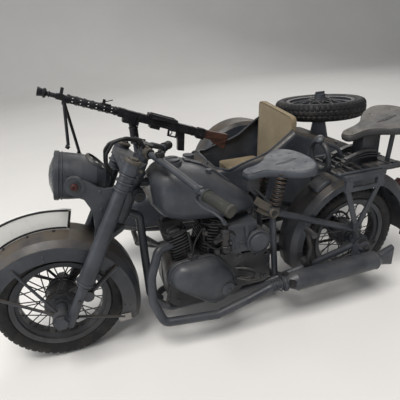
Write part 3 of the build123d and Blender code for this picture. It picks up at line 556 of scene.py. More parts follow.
@dataclass(frozen=True)
class FieldPaint:
    """Matte field paint: cloudy colour, settled dust, scuffs and a faint orange peel."""

    name: str = "field_paint"
    base: Colour = (0.029, 0.033, 0.041)
    pale: Colour = (0.051, 0.057, 0.069)
    dust: Colour = (0.092, 0.078, 0.060)
    dust_amount: float = 0.16
    scuff: Colour = (0.135, 0.145, 0.165)
    roughness: float = 0.33

    def build(self) -> bpy.types.Material:
        """Make the material.

        Returns:
            The material.
        """
        r = Recipe(self.name)
        cloud = r.between(r.noise(38, 4), 0.35, 0.68)
        colour = r.mix(cloud, self.base, self.pale)
        speck = r.between(r.noise(900, 2, 0.7), 0.69, 0.76, 0.0, 0.55)
        colour = r.mix(speck, colour, self.scuff)
        streak = r.between(r.noise(260, 3, 0.75, (1, 1, 0.12)), 0.62, 0.78, 0.0, 0.3)
        colour = r.mix(streak, colour, self.scuff)
        patch = r.between(r.noise(38, 5, 0.65), 0.22, 0.72)
        low = r.between(r.height(), 0.0, 0.09, 0.55, 0.0)
        amount = r.sum("MULTIPLY", r.sum("MAXIMUM", r.facing_up(), low),
                       r.sum("MULTIPLY", patch, self.dust_amount * 2))
        colour = r.mix(amount, colour, self.dust)
        r.give("Base Color", colour)
        r.give("Roughness", r.sum("ADD", r.between(r.noise(120, 3), 0.3, 0.7, 0, 0.16), self.roughness))
        r.give("Specular IOR Level", 0.36)
        r.bump(r.noise(700, 3, 0.7), 0.00012, 0.5)
        return r.material


@dataclass(frozen=True)
class Metal:
    """Bare or oily metal: cloudy colour, stains in a second colour and a fine grain."""

    name: str
    base: Colour
    stain: Colour
    stain_amount: float = 0.5
    metallic: float = 0.85
    roughness: float = 0.4
    grain: float = 600.0

    def build(self) -> bpy.types.Material:
        """Make the material.

        Returns:
            The material.
        """
        r = Recipe(self.name)
        patch = r.between(r.noise(110, 5, 0.7), 0.42, 0.66, 0.0, self.stain_amount)
        colour = r.mix(patch, self.base, self.stain)
        colour = r.mix(r.between(r.noise(1400, 2, 0.8), 0.45, 0.7, 0, 0.3), colour,
                       tuple(c * 0.5 for c in self.base))
        r.give("Base Color", colour)
        r.give("Metallic", self.metallic)
        r.give("Roughness", r.sum("ADD", r.between(r.noise(160, 4), 0.3, 0.7, -0.06, 0.2), self.roughness))
        r.bump(r.noise(self.grain, 4, 0.7), 0.0001, 0.6)
        return r.material


@dataclass(frozen=True)
class Rubber:
    """Rubber with pale dust in its hollows."""

    name: str
    base: Colour = (0.009, 0.009, 0.010)
    dust: Colour = (0.048, 0.041, 0.033)
    dust_amount: float = 0.4
    roughness: float = 0.62

    def build(self) -> bpy.types.Material:
        """Make the material.

        Returns:
            The material.
        """
        r = Recipe(self.name)
        patch = r.between(r.noise(70, 5, 0.75), 0.45, 0.72, 0.0, self.dust_amount)
        r.give("Base Color", r.mix(patch, self.base, self.dust))
        r.give("Roughness",
               r.between(r.noise(220, 3), 0.3, 0.7, self.roughness - 0.08, self.roughness + 0.12))
        r.give("Specular IOR Level", 0.35)
        r.bump(r.noise(1500, 3, 0.7), 0.00008, 0.7)
        return r.material


@dataclass(frozen=True)
class Cloth:
    """Woven cover: two crossed waves, slight fading and soiled low spots."""

    name: str = "tan_canvas"
    base: Colour = (0.205, 0.158, 0.090)
    worn: Colour = (0.270, 0.215, 0.130)
    soil: Colour = (0.130, 0.100, 0.060)
    threads: float = 1500.0

    def build(self) -> bpy.types.Material:
        """Make the material.

        Returns:
            The material.
        """
        r = Recipe(self.name)
        waves = []
        for way in ("X", "Y", "Z"):
            node = r.put("ShaderNodeTexWave", wave_type="BANDS", bands_direction=way, wave_profile="SIN")
            node.inputs["Scale"].default_value = self.threads / 6.28
            node.inputs["Distortion"].default_value = 0.4
            node.inputs["Detail Scale"].default_value = 2.0
            r.link(r.place, node.inputs["Vector"])
            waves.append(node.outputs["Fac"])
        weave = r.sum("MULTIPLY", r.sum("ADD", r.sum("ADD", waves[0], waves[1]), waves[2]), 0.333)
        colour = r.mix(r.between(r.noise(30, 4), 0.35, 0.65), self.base, self.worn)
        colour = r.mix(r.between(r.noise(75, 5, 0.75), 0.55, 0.8, 0, 0.45), colour, self.soil)
        colour = r.mix(r.sum("MULTIPLY", weave, 0.22), colour, self.soil)
        r.give("Base Color", colour)
        r.give("Roughness", 0.86)
        r.give("Sheen Weight", 0.15)
        r.bump(weave, 0.00025, 0.55)
        return r.material


@dataclass(frozen=True)
class Enamel:
    """Smooth enamel or plastic with fine scratches."""

    name: str
    base: Colour
    mark: Colour
    roughness: float = 0.3
    marks: float = 0.3

    def build(self) -> bpy.types.Material:
        """Make the material.

        Returns:
            The material.
        """
        r = Recipe(self.name)
        patch = r.between(r.noise(140, 5, 0.75), 0.52, 0.72, 0.0, self.marks)
        r.give("Base Color", r.mix(patch, self.base, self.mark))
        r.give("Roughness", r.between(r.noise(320, 3, 0.7), 0.3, 0.7, self.roughness, self.roughness + 0.2))
        r.give("Specular IOR Level", 0.35)
        r.bump(r.noise(500, 3, 0.6), 0.00006, 0.5)
        return r.material


@dataclass(frozen=True)
class Glass:
    """Dusty lamp glass."""

    name: str = "lamp_glass"
    tint: Colour = (0.06, 0.07, 0.08)

    def build(self) -> bpy.types.Material:
        """Make the material.

        Returns:
            The material.
        """
        r = Recipe(self.name)
        dirt = r.between(r.noise(90, 5, 0.75), 0.4, 0.75, 0.0, 0.5)
        r.give("Base Color", r.mix(dirt, self.tint, (0.16, 0.15, 0.13)))
        r.give("Transmission Weight", 0.25)
        r.give("IOR", 1.45)
        r.give("Roughness", r.sum("ADD", dirt, 0.08))
        r.bump(r.noise(400, 2, 0.5), 0.00008, 0.4)
        return r.material


@dataclass(frozen=True)
class Wood:
    """Stained wood with long grain."""

    name: str = "stained_wood"
    base: Colour = (0.082, 0.031, 0.019)
    dark: Colour = (0.026, 0.011, 0.008)

    def build(self) -> bpy.types.Material:
        """Make the material.

        Returns:
            The material.
        """
        r = Recipe(self.name)
        grain = r.noise(420, 5, 0.65, (0.12, 1, 1))
        r.give("Base Color", r.mix(r.between(grain, 0.38, 0.62), self.dark, self.base))
        r.give("Roughness", r.between(grain, 0.3, 0.7, 0.38, 0.56))
        r.bump(grain, 0.00012, 0.6)
        return r.material


class Finish(Enum):
    """Every finish on the model, each with its own recipe."""

    PAINT = FieldPaint()
    GUARD_PAINT = FieldPaint("dusty_guard_paint", dust_amount=0.75, dust=(0.078, 0.064, 0.050))
    DARK_PAINT = FieldPaint("dark_chassis_paint", base=(0.018, 0.020, 0.024), pale=(0.036, 0.039, 0.045),
                            dust_amount=0.3)
    SADDLE_PAINT = FieldPaint("saddle_paint", base=(0.040, 0.046, 0.057), pale=(0.060, 0.067, 0.081),
                              dust_amount=0.10, roughness=0.38)
    WORN_SADDLE = FieldPaint("worn_saddle_paint", base=(0.027, 0.028, 0.031), pale=(0.045, 0.044, 0.045),
                             dust_amount=0.35, roughness=0.42)
    RIM_PAINT = FieldPaint("rim_paint", base=(0.024, 0.028, 0.035), pale=(0.044, 0.049, 0.059),
                           dust_amount=0.3)
    ALLOY = Metal("cast_alloy", (0.095, 0.084, 0.068), (0.055, 0.050, 0.044), 0.7, 0.45, 0.48, 420.0)
    STEEL = Metal("oily_steel", (0.050, 0.051, 0.056), (0.075, 0.060, 0.045), 0.5, 0.6, 0.42)
    BRIGHT = Metal("worn_bright_steel", (0.30, 0.29, 0.28), (0.13, 0.11, 0.085), 0.6, 0.9, 0.33)
    RUST = Metal("rusty_spring_steel", (0.040, 0.030, 0.026), (0.085, 0.042, 0.024), 0.7, 0.45, 0.55, 350.0)
    GUN = Metal("blued_steel", (0.018, 0.018, 0.021), (0.05, 0.05, 0.054), 0.5, 0.55, 0.36)
    TYRE = Rubber("tyre_rubber")
    HOSE = Rubber("hose_rubber", dust_amount=0.2, roughness=0.5)
    CABLE = Rubber("cable_sheath", dust_amount=0.1, roughness=0.45)
    GRIP = Rubber("grip_rubber", (0.026, 0.027, 0.024), (0.058, 0.055, 0.044), 0.6, 0.55)
    CANVAS = Cloth()
    PLATE = Enamel("white_plate", (0.74, 0.74, 0.71), (0.52, 0.49, 0.42), 0.38, 0.4)
    BLACK = Enamel("black_enamel", (0.012, 0.012, 0.013), (0.06, 0.055, 0.05), 0.34, 0.4)
    RED = Enamel("dark_red_lacquer", (0.050, 0.012, 0.010), (0.05, 0.02, 0.018), 0.3, 0.5)
    DIAL = Enamel("dial_face", (0.52, 0.52, 0.49), (0.14, 0.13, 0.12), 0.35, 0.5)
    GLASS = Glass()
    WOOD = Wood()

    def material(self) -> bpy.types.Material:
        """The finish's material, made once."""
        found = bpy.data.materials.get(self.value.name)
        return found if found is not None else self.value.build()


# ------------------------------------------------------------------ turning shells into pieces
@dataclass
class Workshop:
    """Makes pieces in the frame and dresses the carried-over nodes."""

    datum: Datum
    nodes: dict[str, bpy.types.Object]

    def piece(self, name: str, shell: Shell, finish: Finish, body: str, sharp_deg: float = 38.0,
              replaces: Sequence[str] = ()) -> bpy.types.Object:
        """Make one finished piece.

        Args:
            name: the piece's name.
            shell: its surface in drawing millimetres.
            finish: its material.
            body: the body it rides on.
            sharp_deg: edges sharper than this stay crisp.
            replaces: CAD nodes that it stands for.
        Returns:
            The object, riding on its body.
        """
        mesh = bpy.data.meshes.new(name)
        points = self.datum.metres(shell.points)
        sizes = np.concatenate([np.full(len(shell.quads), 4), np.full(len(shell.tris), 3)]).astype(np.int32)
        corners = np.concatenate([shell.quads.ravel(), shell.tris.ravel()]).astype(np.int32)
        mesh.vertices.add(len(points))
        mesh.vertices.foreach_set("co", points.ravel())
        mesh.loops.add(len(corners))
        mesh.loops.foreach_set("vertex_index", corners)
        mesh.polygons.add(len(sizes))
        mesh.polygons.foreach_set("loop_start", np.concatenate([[0], np.cumsum(sizes)[:-1]]).astype(np.int32))
        mesh.update(calc_edges=True)
        work = bmesh.new()
        work.from_mesh(mesh)
        bmesh.ops.remove_doubles(work, verts=work.verts, dist=1e-6)
        bmesh.ops.recalc_face_normals(work, faces=work.faces)
        work.to_mesh(mesh)
        work.free()
        mesh.polygons.foreach_set("use_smooth", np.ones(len(mesh.polygons), bool))
        mesh.set_sharp_from_angle(angle=math.radians(sharp_deg))
        mesh.materials.append(finish.material())
        obj = bpy.data.objects.new(name, mesh)
        bpy.context.scene.collection.objects.link(obj)
        if replaces:
            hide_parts(*replaces)
        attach(obj, body)
        LOG.info("piece %-28s %6d faces on %s", name, len(sizes), body)
        return obj

    def dress(self, finish: Finish, *names: str) -> None:
        """Give carried-over nodes a finish.

        Args:
            finish: their new only material.
            names: the nodes' names.
        """
        for name in names:
            mesh = self.nodes[name].data
            mesh.materials.clear()
            mesh.materials.append(finish.material())
            LOG.info("node  %-28s %s", name, finish.value.name)


# ------------------------------------------------------------------ wheels
@dataclass(frozen=True)
class RoadWheel:
    """A wheel's place: its centre, the direction of its axle, and its nodes and body."""

    label: str
    centre: Triple
    axle: Triple
    body: str

    def laid(self, shell: Shell) -> Shell:
        """A shell made about +z, laid on this wheel's axle."""
        return shell.moved(axes_for(self.axle), self.centre)


@dataclass
class Wheels:
    """Treaded tyres, spoke nipples and hub trim for all four wheels."""

    shop: Workshop
    blocks: int = 56
    steps_a_block: int = 7
    groove: float = 0.95
    shoulder_y: float = 7.6
    tread_from_r: float = 47.0
    spokes: int = 36
    nipple_r: float = 34.1
    hub_bolts: int = 8
    hub_bolt_r: float = 8.8
    hub_half: float = 10.6
    # y, r from the bead seat's middle round the left wall to the crown
    section: tuple = ((0.0, 35.75), (-5.6, 35.75), (-6.5, 36.1), (-6.75, 38.3), (-8.15, 39.9), (-9.3, 42.6),
                      (-9.4, 45.2), (-8.85, 47.4), (-7.6, 49.3), (-5.2, 50.5), (-2.4, 50.88), (0.0, 50.94))
    # r, along the axle from the drum's outer face to its inner one
    drum: tuple = ((0, 9.0), (12.9, 9.0), (13.2, 8.2), (13.2, 6.6), (12.6, 6.2), (0, 6.2))

    def places(self) -> list[RoadWheel]:
        """The three road wheels and the spare, which lies on the tub and leans a little.

        Returns:
            The four wheels.
        """
        lean = math.radians(SPARE_LEAN_DEG)
        return [
            RoadWheel("front", FRONT_AXLE, LEFT, "front_wheel_set"),
            RoadWheel("rear", REAR_AXLE, LEFT, "rear_wheel_set"),
            RoadWheel("sidecar", SIDE_AXLE, RIGHT, "sidecar_wheel_set"),
            RoadWheel("spare", SPARE_MIDDLE, (0, -math.sin(lean), math.cos(lean)), "bike"),
        ]

    def tyre(self) -> Shell:
        """Tyre about +z with blocks cut in its tread.

        Formula: a smooth closed section (y, r) is turned about the axle; where r is beyond the
        shoulder, r drops by the groove depth in two wavy ribs and in cross cuts that are
        staggered from side to side.
        Returns:
            The surface.
        """
        left = np.array(self.section)
        right = left[-2:0:-1] * [-1, 1]
        loop = smooth(np.vstack([left, right]), 76, closed=True)
        y, r = loop[:, 0], loop[:, 1]
        a = np.linspace(0, 2 * math.pi, self.blocks * self.steps_a_block, endpoint=False)
        s = (y / self.shoulder_y)[None, :]
        t = (a / (2 * math.pi) * self.blocks)[:, None]
        wave = np.abs(2 * np.mod(t, 1) - 1) - 0.5
        rib = np.exp(-(((np.abs(s) - 0.34 - 0.10 * wave) / 0.075) ** 4))
        cut = (np.abs(np.mod(t + 0.5 * (s > 0) + 0.35 * np.abs(s), 1) - 0.5) < 0.15) & (np.abs(s) > 0.36)
        middle = (np.abs(np.mod(t + 0.9 * s, 1) - 0.5) < 0.10) & (np.abs(s) < 0.3)
        tread = np.clip((r - self.tread_from_r) / 1.4, 0, 1)[None, :]
        depth = self.groove * tread * np.clip(np.maximum(rib, np.maximum(cut, 0.6 * middle)), 0, 1)
        wall = 0.22 * (np.exp(-(((r - 45.8) / 0.35) ** 2)) + np.exp(-(((r - 41.2) / 0.3) ** 2)))
        rr = r[None, :] - depth
        yy = (y + np.sign(y) * wall)[None, :] - np.sign(y)[None, :] * depth * 0.35 * (np.abs(s) > 0.8)
        pts = np.stack([rr * np.cos(a)[:, None], rr * np.sin(a)[:, None], np.broadcast_to(yy, rr.shape)], -1)
        return grid(pts, close_u=True, close_v=True)

    def trim(self) -> Shell:
        """Spoke nipples, hub bolts and the brake drums' raised faces, about +z.

        Returns:
            The surface.
        """
        nipple = lathe([(0.95, 0), (0.95, 1.5), (0.6, 2.4), (0, 2.4)], turns=6)
        nipples = []
        for k in range(self.spokes):
            a = 2 * math.pi * k / self.spokes
            out = np.array([math.cos(a), math.sin(a), 0.0])
            nipples.append((axes_for(-out), out * self.nipple_r + [0, 0, 0.7 if k % 2 else -0.7]))
        angles = [2 * math.pi * (k + 0.5) / self.hub_bolts for k in range(self.hub_bolts)]
        r = self.hub_bolt_r
        bolts = []
        for side in SIDES:
            bolts += [((r * math.cos(a), r * math.sin(a), side * self.hub_half), (0, 0, side))
                      for a in angles]
        drums = [lathe([(radius, side * along) for radius, along in self.drum], turns=48) for side in SIDES]
        return Shell.join([repeated(nipple, nipples), fixings(Fixing.HEX, 0.8, bolts), *drums])

    def build(self) -> None:
        """Make every wheel's tyre and trim, and paint the rims."""
        tyre, trim = self.tyre(), self.trim()
        for wheel in self.places():
            self.shop.piece(f"{wheel.label}_tyre_treaded", wheel.laid(tyre), Finish.TYRE, wheel.body, 35.0,
                            [f"{wheel.label}_tyre"])
            self.shop.piece(f"{wheel.label}_wheel_trim", wheel.laid(trim), Finish.STEEL, wheel.body)
            self.shop.dress(Finish.RIM_PAINT, f"{wheel.label}_wheel")


# ------------------------------------------------------------------ tank
@dataclass
class Tank:
    """Teardrop tank with the plate on its cap and its rivets."""

    shop: Workshop
    nose: float = -189.0
    square: float = 0.78
    cap_back: float = 18.8
    cap_y: float = -8.1
    cap_top: float = 156.6
    # share of the last section, distance past it
    end_rings: tuple = ((0.97, 0.25), (0.88, 0.5), (0.6, 0.62), (0.3, 0.65))
    # behind the nose, height of the long lid's top face
    lid: tuple = ((30.0, 153.0), (43.0, 147.8), (55.0, 139.6), (67.0, 128.8))
    # behind the nose, half width, underside, top
    stations: tuple = ((0.0, 15.0, 121.0, 145.5), (8.0, 24.5, 111.5, 151.0), (22.0, 28.5, 106.5, 153.4),
                       (43.0, 27.5, 103.2, 146.0), (64.0, 21.0, 101.0, 129.6), (86.0, 8.0, 101.2, 111.0))

    def skin(self) -> Shell:
        """The tank's closed skin.

        Formula: along the length u the half width and the heights are smooth lines through the
        stations; round the section v the point is (w c(v), mid + h s(v)), where c and s are the
        cosine and sine raised to a power with their signs kept.  End rings shrink to close it.
        Returns:
            The surface.
        """
        table = smooth(np.array(self.stations), 72)
        c, s = soft_square(self.square, 72)
        x, w = table[:, 0] + self.nose, table[:, 1]
        mid, h = (table[:, 2] + table[:, 3]) / 2, (table[:, 3] - table[:, 2]) / 2
        rows = np.stack([np.repeat(x[:, None], 72, 1), w[:, None] * c, mid[:, None] + h[:, None] * s], -1)
        ends = []
        for row, sign in ((rows[0], -1), (rows[-1], 1)):
            centre = row.mean(0)
            rings = [centre + (row - centre) * share + [sign * out, 0, 0] for share, out in self.end_rings]
            ends.append(np.array(rings))
        return grid(np.concatenate([ends[0][::-1], rows, ends[1]]), close_v=True, caps=True)

    def top_at(self, back: float, y: float) -> float:
        """Height of the skin over a point, by the skin's own formula.

        Args:
            back: distance behind the nose.
            y: distance from the middle.
        Returns:
            The height in millimetres.
        """
        table = np.array(self.stations)
        half, low, high = (float(np.interp(back, table[:, 0], table[:, k])) for k in (1, 2, 3))
        c = min(0.999, abs(y) / half) ** (1 / self.square)
        return (low + high) / 2 + (high - low) / 2 * math.sqrt(1 - c * c) ** self.square

    def lid_top(self, back: float) -> float:
        """Height of the long lid's top face."""
        return float(np.interp(back, *zip(*self.lid)))

    def build(self) -> None:
        """Make the tank and its small parts."""
        shop = self.shop
        shop.piece("tank_skin", self.skin(), Finish.PAINT, "bike", 50.0, ["fuel_tank"])
        shop.dress(Finish.PAINT, "tank_fittings")
        cap = np.array([self.nose + self.cap_back, self.cap_y, self.cap_top])
        disc = lathe([(6.1, 0), (6.1, 0.5), (5.4, 0.9), (0, 0.95)], cap - [0, 0, 0.2], (0.03, -0.06, 1))
        wing = soft_block((9.0, 1.3, 1.1), 0.5).shifted(*(cap + [0, 0, 0.9]))
        shop.piece("tank_cap_plates", Shell.join([disc, wing]), Finish.PAINT, "bike")
        spots = []
        for back in (33.5, 43.5, 54, 64):
            spots += [((self.nose + back, side * 3.5, self.lid_top(back)), (0.3, 0, 1)) for side in SIDES]
        for back, y in ((9, -14), (9, 14), (50, -14), (58, 9)):
            spots.append(((self.nose + back, y, self.top_at(back, y) - 0.1), (0.1, y / 60, 1)))
        shop.piece("tank_rivets", fixings(Fixing.RIVET, 0.75, spots), Finish.STEEL, "bike")


# ------------------------------------------------------------------ sidecar seats
@dataclass
class SidecarSeat:
    """Seat cushion and backrest with piped edges."""

    shop: Workshop
    cushion_at: Triple = (-54.2, TUB_Y, 90.2)
    cushion_size: Triple = (49.0, 75.4, 12.2)
    cushion_square: float = 0.16
    cushion_pull: float = 0.5
    back_at: Triple = (-22.0, TUB_Y, 84.0)
    back_half: float = 38.9
    back_low: float = 0.15
    back_near: float = 71.4
    back_far: float = 78.9
    back_thick: float = 3.25
    back_square: float = 0.14
    back_lean_deg: float = 2.0
    crown: float = 0.14
    piping_r: float = 0.45
    piping_in: float = 0.5

    def piping(self, lines: Iterable[Array]) -> Shell:
        """A closed cord along each line."""
        return Shell.join(pipe(line, self.piping_r, 8, closed=True) for line in lines)

    def cushion(self) -> tuple[Shell, Shell]:
        """The stuffed cushion and its piping.

        Formula: with the angles u and v over a ball, each of x, y, z is half the size times the
        ball's cosine or sine product raised to a small power, which makes a crowned block; its
        sides then pull in between the corners by a share that is largest half way along.
        Returns:
            The skin and the piping.
        """
        half, square, pull = np.array(self.cushion_size) / 2, self.cushion_square, self.cushion_pull
        u = np.linspace(-math.pi / 2 + 0.02, math.pi / 2 - 0.02, 60)
        c, s = soft_square(square, 120)
        shrink = np.abs(np.cos(u))[:, None] ** (square * 1.5)
        a, b = c * shrink, s * shrink
        x, y = a * (half[0] - pull * (1 - b ** 2)), b * (half[1] - pull * (1 - a ** 2))
        puff = 1 - self.crown + self.crown * (1 - a ** 2) * (1 - b ** 2)
        z = signed_power(np.sin(u), square)[:, None] * half[2] * puff
        skin = grid(np.stack([x, y, z], -1), close_v=True, caps=True).moved(np.eye(3), self.cushion_at)
        x = (half[0] - self.piping_in - pull * (1 - s ** 2)) * c
        y = (half[1] - self.piping_in - pull * (1 - c ** 2)) * s
        heights = [side * half[2] * 0.74 for side in SIDES]
        lines = [np.stack([x, y, np.full(len(c), z)], 1) + self.cushion_at for z in heights]
        return skin, self.piping(lines)

    def backrest(self) -> tuple[Shell, Shell]:
        """The upright pad with a slanted top, and its piping.

        Formula: a soft square in (y, z) with corners rounded by powers is stretched so that its
        top slants; the thickness swells a little to the middle, and everything leans back.
        Returns:
            The skin and the piping.
        """
        half, low, near, thick = self.back_half, self.back_low, self.back_near, self.back_thick
        rise = self.back_far - near
        u = np.linspace(-math.pi / 2 + 0.02, math.pi / 2 - 0.02, 48)
        c, s = soft_square(self.back_square, 140)
        shrink = np.abs(np.cos(u))[:, None] ** 0.20
        y, t = c * shrink * half, (s * shrink + 1) / 2
        top = near + rise * (y / half + 1) / 2
        swell = 1 - self.crown + self.crown * (1 - (y / half) ** 2) * (1 - (2 * t - 1) ** 2)
        x = signed_power(np.sin(u), 0.3)[:, None] * thick * swell
        turn, place = lean_about_y(self.back_lean_deg), np.array(self.back_at)
        skin = grid(np.stack([x, y, low + t * (top - low)], -1), close_v=True, caps=True).moved(turn, place)
        y = c * (half - self.piping_in)
        z = low + 0.4 + (s + 1) / 2 * (near + rise * (y / half + 1) / 2 - low - 0.8)
        lines = [np.stack([np.full(len(c), side * thick * 0.80), y, z], 1) @ turn.T + place for side in SIDES]
        return skin, self.piping(lines)

    def build(self) -> None:
        """Make both pads."""
        for label, (skin, piping) in (("cushion", self.cushion()), ("backrest", self.backrest())):
            cover = self.shop.piece(f"sidecar_{label}_cover", skin, Finish.CANVAS, "bike", 60.0,
                                    [f"sidecar_{label}"])
            self.shop.piece(f"sidecar_{label}_piping", piping, Finish.CANVAS, "bike")


# ------------------------------------------------------------------ small shapes
def circle(origin: Point, axis: Point, radius: float, count: int = 48) -> Array:
    """Points round a circle square to an axis.

    Args:
        origin: the circle's middle.
        axis: direction square to it.
        radius: its radius.
        count: number of points.
    Returns:
        (count, 3) points.
    """
    a = np.linspace(0, 2 * math.pi, count, endpoint=False)
    local = np.stack([radius * np.cos(a), radius * np.sin(a), np.zeros(count)], 1)
    return local @ axes_for(axis).T + np.asarray(origin, float)


def ring(origin: Point, axis: Point, radius: float, wire: float, count: int = 48, sides: int = 10) -> Shell:
    """A round wire bent into a circle."""
    return pipe(circle(origin, axis, radius, count), wire, sides, closed=True)


def bar(start: Point, end: Point, radius: float, end_radius: Optional[float] = None,
        sides: int = 14) -> Shell:
    """A straight bar with eased ends.

    Args:
        start: middle of the first end.
        end: middle of the other end.
        radius: radius at the start.
        end_radius: radius at the end, where it differs.
        sides: corners of the section.
    Returns:
        The surface.
    """
    start, end = np.asarray(start, float), np.asarray(end, float)
    end_radius = radius if end_radius is None else end_radius
    along = unit(end - start)
    ease = 0.3 * min(radius, end_radius)
    path = np.array([start, start + along * ease, end - along * ease, end])
    return pipe(path, np.array([radius - ease, radius, end_radius, end_radius - ease]), sides)


def bent(points: Sequence[Point], radius: float, count: int = 32) -> Shell:
    """A round bar along a smooth line through a few points."""
    return pipe(smooth(np.asarray(points, float), count), radius, 10)


def strip(points: Sequence[Point], across: Point, width: float, thick: float, count: int = 24) -> Shell:
    """A flat strip with eased edges along a smooth line through a few points.

    Args:
        points: points that the strip passes through.
        across: direction of its width.
        width: its width.
        thick: its thickness.
        count: samples along it.
    Returns:
        The surface.
    """
    w, t = width / 2, thick / 2
    loop = np.array([[-w, -0.4 * t], [-w + 0.3 * t, -t], [w - 0.3 * t, -t], [w, -0.4 * t],
                     [w, 0.4 * t], [w - 0.3 * t, t], [-w + 0.3 * t, t], [-w, 0.4 * t]])
    return ribbon(smooth(np.asarray(points, float), count), unit(across), loop)


def arc_points(centre: Point, radius: float, low_deg: float, high_deg: float, y: float,
               count: int = 60) -> Array:
    """Points along an arc about an axle, at one y; angle 0 points to +x and 90 up."""
    a = np.radians(np.linspace(low_deg, high_deg, count))
    return np.stack([centre[0] + radius * np.cos(a), np.full(count, y), centre[2] + radius * np.sin(a)], 1)


# ------------------------------------------------------------------ saddles
@dataclass
class Saddle:
    """A pressed saddle pan: pear-shaped, dished, with a turned-down rim and a slit.

    The frame of a pan is its CAD one: zero height is the top, x runs from nose to back.
    """

    shop: Workshop
    node: str
    front: float
    back: float
    top: float
    tilt_deg: float
    lean_deg: float
    finish: Finish = Finish.SADDLE_PAINT
    half: float = 32.0
    deep: float = 6.4
    # share of the length, share of the half width
    outline: tuple = ((0.0, 0.0), (0.006, 0.10), (0.035, 0.19), (0.10, 0.235), (0.20, 0.25), (0.30, 0.31),
                      (0.40, 0.47), (0.50, 0.70), (0.60, 0.88), (0.72, 0.985), (0.82, 0.96), (0.91, 0.78),
                      (0.965, 0.52), (0.992, 0.25), (1.0, 0.0))

    def turn(self) -> Array:
        """The pan's tilt about y and then its lean about x.

        Returns:
            The 3x3 matrix.
        """
        a = math.radians(self.lean_deg)
        lean = np.array([[1, 0, 0], [0, math.cos(a), -math.sin(a)], [0, math.sin(a), math.cos(a)]])
        return lean @ lean_about_y(-self.tilt_deg)

    def place(self, points: Array) -> Array:
        """Turn pan points about the pan's middle and lift them to their height."""
        middle = np.array([(self.front + self.back) / 2, 0, 0])
        return (np.asarray(points, float) - middle) @ self.turn().T + middle + [0, 0, self.top]

    def at(self, share: float | Array) -> float | Array:
        """Where a share of the pan's length lies."""
        return self.front + share * (self.back - self.front)

    def dish(self, x: Array, y: Array) -> Array:
        """Depth of the seat's hollow and the rise of its back edge, never above zero.

        Args:
            x: places along the pan.
            y: places across it.
        Returns:
            Heights in millimetres, all under zero.
        """
        t = (x - self.front) / (self.back - self.front)
        seat = 1.7 * np.exp(-(((t - 0.62) / 0.22) ** 2) - (y / 20) ** 2)
        nose = 0.9 * np.clip((0.35 - t) / 0.35, 0, 1) ** 2
        return -(0.25 + seat + nose)

    def skin(self) -> Shell:
        """The pan.

        Formula: an outline point p and its anchor q on the centre line give top points
        q + f (p - q); past f = 1 the section turns down round the rim, in under it and back.
        Returns:
            The surface.
        """
        half_line = smooth(np.array(self.outline), 60)
        x = self.at(half_line[:, 0])
        y = half_line[:, 1] * self.half
        rim = np.vstack([np.stack([x, -y], 1), np.stack([x, y], 1)[-2:0:-1]])
        anchor = np.stack([np.clip(rim[:, 0], self.front + 9, self.back - 17), np.zeros(len(rim))], 1)
        out = rim - anchor
        length = np.linalg.norm(out, axis=1, keepdims=True)
        out = out / np.maximum(length, 1e-6)
        rows = [anchor + share * (rim - anchor) for share in (0.0, 0.25, 0.5, 0.72, 0.88)]
        drops = [self.dish(row[:, 0], row[:, 1]) for row in rows]
        edge, deep = self.dish(rim[:, 0], rim[:, 1]), self.deep
        rows.append(rim - out * 1.9)
        drops.append(edge - 0.5 + 0.4)
        # inset from the rim, drop below it: down outside, round the lip and up inside
        for inset, drop in ((0.8, 1.2), (0.2, 2.4), (0.0, 3.8), (0.35, deep - 0.5), (0.9, deep),
                            (1.5, deep - 0.5), (1.7, 3.6), (2.6, 2.4)):
            rows.append(rim - out * inset)
            drops.append(edge * 0.8 - drop)
        for share in (0.6, 0.2, 0.0):
            row = anchor + share * (rim - anchor)
            rows.append(row)
            drops.append(self.dish(row[:, 0], row[:, 1]) - 1.7)
        pts = np.concatenate([np.array(rows), np.array(drops)[..., None]], -1)
        shell = grid(pts, close_v=True)
        return Shell(self.place(shell.points), shell.quads, shell.tris)

    def slit(self) -> tuple[Shell, Shell]:
        """The raised lip round the slot pressed into the seat, and a black strip that paints the shade inside
        the slot.

        Formula: the lip is a bar round an ellipse in plan that follows the dish; the slot's painted shade is
        a black strip on its long axis.
        Returns:
            The lip and the black strip of painted slot shade.
        """
        start, half = self.at(0.50), 9.5
        a = np.linspace(0, 2 * math.pi, 40, endpoint=False)
        x, y = start + half + (half + 0.4) * np.cos(a), 1.2 * np.sin(a)
        lip = pipe(self.place(np.stack([x, y, self.dish(x, y) + 0.05], 1)), 0.32, 6, closed=True)
        x, y = np.linspace(start, start + 2 * half, 20), np.zeros(20)
        return lip, strip(self.place(np.stack([x, y, self.dish(x, y) + 0.10], 1)), RIGHT, 1.5, 0.2, 20)

    def rivets(self) -> Shell:
        """Rivets through the nose and both cheeks of the seat.

        Returns:
            The surface.
        """
        places = ((0.10, 3), (0.60, 19), (0.84, 13))
        spots = np.array([(self.at(share), side * y, 0.0) for share, y in places for side in SIDES])
        spots[:, 2] = self.dish(spots[:, 0], spots[:, 1])
        return fixings(Fixing.RIVET, 0.8, [(p, self.turn()[:, 2]) for p in self.place(spots)])

    def build(self) -> None:
        """Make the pan, its slit and rivets."""
        lip, dark = self.slit()
        self.shop.piece(f"{self.node}_pan", self.skin(), self.finish, "bike", 50.0, [self.node])
        self.shop.piece(f"{self.node}_slit_lip", lip, self.finish, "bike")
        # black strip: painted shade in place of the open slot
        self.shop.piece(f"{self.node}_slit", dark, Finish.BLACK, "bike")
        self.shop.piece(f"{self.node}_rivets", self.rivets(), self.finish, "bike")


